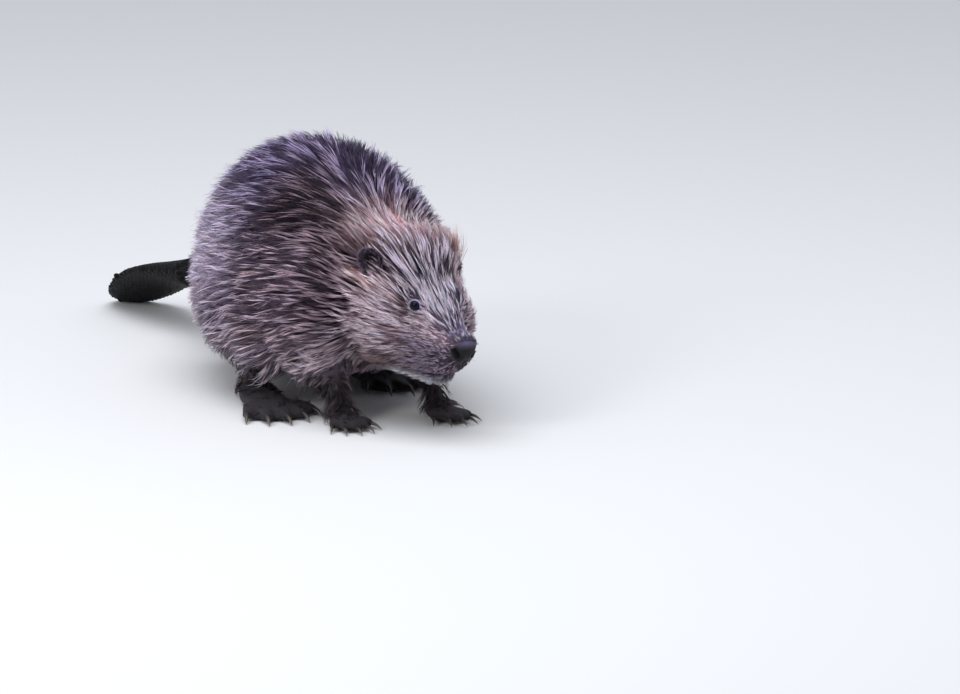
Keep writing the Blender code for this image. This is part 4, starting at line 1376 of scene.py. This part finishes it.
# name, chosen faces, hairs, hairs to a lock, rings, unwrap, material, slot
GUARD_HAIR = [
    ("coat_face_right", is_face & right_side, 17500, 6, 2, head_unwrap, face_fur, "tan_fur"),
    ("coat_face_left", is_face & left_side, 12500, 6, 2, head_unwrap, face_fur, "tan_fur"),
    ("coat_head_right", is_head & right_side, 10500, 7, 3, head_unwrap, face_fur, "tan_fur"),
    ("coat_head_left", is_head & left_side, 7000, 7, 3, head_unwrap, face_fur, "tan_fur"),
    ("coat_flank_right", is_flank & right_side, 12000, 4, 3, trunk_unwrap, body_fur, "brown_fur"),
    ("coat_flank_left", is_flank & left_side, 8000, 5, 3, trunk_unwrap, body_fur, "brown_fur"),
    ("coat_rump", is_rump, 9000, 5, 3, trunk_unwrap, body_fur, "brown_fur"),
    ("coat_belly_and_legs", is_under, 8500, 6, 3, trunk_unwrap, body_fur, "brown_fur"),
]
WOOL = [
    ("wool_head", is_head, 9000, 12, 2, head_unwrap, face_fur, "tan_fur"),
    ("wool_body", is_body, 17500, 12, 2, trunk_unwrap, body_fur, "brown_fur"),
]
LENGTH, HEIGHT, PALE = 0, 1, 7  # columns of the style
# what pale locks and wool take of each column
PALE_SHARE = np.array([1.25, 1.30, 1.0, 1.0, 0.30, 0.5, 0.7, 1.0])
WOOL_SHARE = np.array([0.62, 0.62, 1.0, 1.25, 1.3, 1.6, 1.2, 0.25])
for name, chosen, hairs, to_lock, rings, unwrap, material, slot in GUARD_HAIR + WOOL:
    roots, normals = sample_roots(skin_surface, furry * chosen, hairs // to_lock)
    style = coat_style(roots) * (WOOL_SHARE if name.startswith("wool") else 1)
    style[:, LENGTH] *= chance.uniform(0.8, 1.2, len(roots))
    style[:, HEIGHT] *= chance.uniform(0.65, 1.25, len(roots))
    pale = chance.random(len(roots)) < style[:, PALE]
    style[pale] *= PALE_SHARE
    style[:, PALE] = pale
    way = lie_of_coat(roots, normals)
    uneven = 0.12 - 0.05 * step(head_mm(roots)[:, 0], -185, -135)  # less so on the head
    twist = chance.normal(0, uneven)[:, None]
    way = unit(way + np.cross(normals, way) * twist)
    piece = grow(name, roots, normals, way, style, rings, to_lock, unwrap, material)
    print(name, len(piece.data.polygons), "triangles")

# %% [markdown]
# ## Ear fuzz
# Short soft hair covers the back and the rim of each ear, and only a little of it grows inside. The
# same locks do this too, with one fixed style and one set of colours, because the ear is too small
# for either to change over it.

# %% Ear fuzz
EAR_LOCKS = 360
EAR_RINGS, EAR_HAIRS = 2, 8  # rings to a hair, and hairs to a lock
EAR_STYLE = (5.0, 2.0, 1.5, 0.30, 1.2, 0.6, 0.15, 0.5)
EAR_SHADES = linear((50, 42, 52), (116, 102, 122), (206, 190, 216))
for side in SIDES:
    place, axes = ear_frame(side)
    cup_points, cup_triangles = read_mesh(bpy.data.objects[side + "_ear_cup"].data)
    cup_normals = vertex_normals(cup_points, cup_triangles)
    local = (cup_points[cup_triangles].mean(axis=1) - place) @ axes.T / MM
    rim = np.hypot(local[:, 1] / EAR_HALF[0], local[:, 2] / EAR_HALF[1])
    facing = (cup_normals[cup_triangles].mean(axis=1) @ axes[0]) < 0.3
    wanted = np.where(facing, 0.25 + step(rim, 0.7, 0.95), 0.02 + 0.7 * step(rim, 0.82, 0.96))
    roots, normals = sample_roots((cup_points, cup_triangles, cup_normals), wanted, EAR_LOCKS)
    upwards = unit(roots - place + axes[2] * 4 * MM)
    way = unit(upwards - normals * np.sum(upwards * normals, axis=1, keepdims=True))
    fuzz = grow("coat_ear_" + side, roots, normals, way, np.tile(EAR_STYLE, (len(roots), 1)), EAR_RINGS,
                EAR_HAIRS, turn_unwrap(place, axes[0], -8, 8), face_fur, EAR_SHADES)
    print(fuzz.name, len(fuzz.data.polygons), "triangles")

# %% [markdown]
# ## Whiskers
# Whiskers are stiff single hairs in rows on the pads beside the nose, which feel the way in murky
# water. They sweep out, back and down. The tube that made the claws draws them too, only with fewer
# sides, and a little chance in place and length keeps the rows from looking ruled.

# %% Whiskers
WHISKER_ROWS = (-12, -16.5, -21, -25)  # mm up from the nose tip
WHISKER_COLUMNS = 4
WHISKER_SIDES = 5
WHISKER_HALF_WIDTH = 0.24 * MM
WHISKER_ROOT, WHISKER_END = linear(42, 35, 37), linear(120, 106, 104)


def whiskers(side):
    """Rows of bristles on the pad: each bends back and down, its width falling to a tenth."""
    sign = 1 if side == "left" else -1
    pieces = []
    for row, height in enumerate(WHISKER_ROWS):
        for column in range(WHISKER_COLUMNS):
            back, out, up = -19 - 6.0 * column - 1.5 * row, 15 + 2.4 * column, height + 0.6 * column
            root = np.array([back, sign * out, up]) + chance.normal(0, 0.7, 3)
            length = chance.uniform(22, 38) + 3 * column
            t = np.linspace(0, 1, 9)[:, None]
            first = unit(np.array([-0.35 - 0.1 * column, sign * 0.9, -0.18 - 0.08 * row]))
            bend = 0.45 * np.array([-0.75, -sign * 0.15, -0.35])
            path = from_head(root + length * (first * t + bend * t * t))
            width = WHISKER_HALF_WIDTH * (1 - 0.9 * t[:, 0])
            pieces.append(tube(path, width, width, WHISKER_SIDES))
    return outward(make_piece(side + "_whiskers", *joined(pieces)))


bristle = tinted_finish("whisker_bristle", 0.35, 0.5, 300.0, (0.8, 1.2))
for side in SIDES:
    piece = whiskers(side)
    points, _ = read_mesh(piece.data)
    out = step(np.abs(head_mm(points)[:, 1]), 18, 45)[:, None]
    give_colour(piece, "tint", WHISKER_ROOT + (WHISKER_END - WHISKER_ROOT) * out)
    piece.data.materials.append(bristle)
    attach(piece, "root")
    print(piece.name, len(piece.data.polygons), "triangles")

# %% [markdown]
# ## Studio
# Dark fur needs soft light from many sides, or its locks drown in their own shadows. A broad light
# hangs overhead, a weaker one stands in front, and a pale sky and floor fill the rest. Small hard
# lamps would throw crisp shadows and make the coat look wiry.

# %% Floor and lights
FLOOR_HALF = 6.0  # metres
SKY_COLOUR = (0.86, 0.9, 1.0, 1)
SKY_STRENGTH = 0.55


def plain_floor():
    """A pale square sheet under the animal."""
    corners = np.array([[-1, -1, 0], [1, -1, 0], [1, 1, 0], [-1, 1, 0]]) * FLOOR_HALF
    floor = make_piece("floor", corners, [[0, 1, 2, 3]], smooth=False)
    paper = bpy.data.materials.new("floor_paper")
    paper.use_nodes = True
    shader = paper.node_tree.nodes["Principled BSDF"]
    shader.inputs["Base Color"].default_value = (0.78, 0.78, 0.77, 1)
    shader.inputs["Roughness"].default_value = 0.85
    floor.data.materials.append(paper)


def soft_light(name, place, aim, size, power, colour):
    """A square light of a given size, turned from its place to what it should light."""
    data = bpy.data.lights.new(name, "AREA")
    data.size = size
    data.energy = power
    data.color = colour
    light = bpy.data.objects.new(name, data)
    light.location = place
    direction = np.array(aim) - np.array(place)
    light.rotation_mode = "QUATERNION"
    light.rotation_quaternion = Vector(direction).to_track_quat("-Z", "Y")
    bpy.context.scene.collection.objects.link(light)


plain_floor()
soft_light("overhead", (0.5, -0.5, 2.6), (0, 0, 0.1), 2.6, 60, (0.93, 0.95, 1.0))
soft_light("front_fill", (1.5, -3.0, 1.9), (0.2, 0, 0.1), 1.1, 38, (1.0, 0.98, 0.98))
world = bpy.data.worlds.new("pale_sky")
world.use_nodes = True
world.node_tree.nodes["Background"].inputs["Color"].default_value = SKY_COLOUR
world.node_tree.nodes["Background"].inputs["Strength"].default_value = SKY_STRENGTH
bpy.context.scene.world = world
bpy.context.scene.view_settings.view_transform = "Standard"

# %% [markdown]
# The camera stands far off with a long lens, as one would watch a shy animal, so that the head isn't
# drawn too large for the body. It stands 12 degrees above the floor and 26 degrees to the right of
# the line of the nose, so the near flank and the face both show.

# %% Camera
AZIMUTH = math.radians(64)  # from straight off the right flank towards the nose
ELEVATION = math.radians(12)
DISTANCE = 12.0
FRAME_WIDTH = 0.96  # metres across the view at the animal
AIM_RIGHT, AIM_UP = 0.156, 0.040  # metres from the trunk's middle, on the floor


def place_camera():
    """The camera looks back along its bearing at a point right of the animal and above the floor."""
    back = np.array([math.sin(AZIMUTH) * math.cos(ELEVATION),
                     -math.cos(AZIMUTH) * math.cos(ELEVATION), math.sin(ELEVATION)])
    right = np.array([math.cos(AZIMUTH), math.sin(AZIMUTH), 0])
    top = np.cross(back, right)
    aim = trunk_mid + right * AIM_RIGHT + top * AIM_UP
    data = bpy.data.cameras.new("camera")
    data.sensor_width = 36
    data.lens = data.sensor_width * DISTANCE / FRAME_WIDTH
    data.clip_end = 60
    camera = bpy.data.objects.new("camera", data)
    turn = np.eye(4)
    turn[:3, 0], turn[:3, 1], turn[:3, 2], turn[:3, 3] = right, top, back, aim + back * DISTANCE
    camera.matrix_world = Matrix(turn.tolist())
    bpy.context.scene.collection.objects.link(camera)
    bpy.context.scene.camera = camera


place_camera()
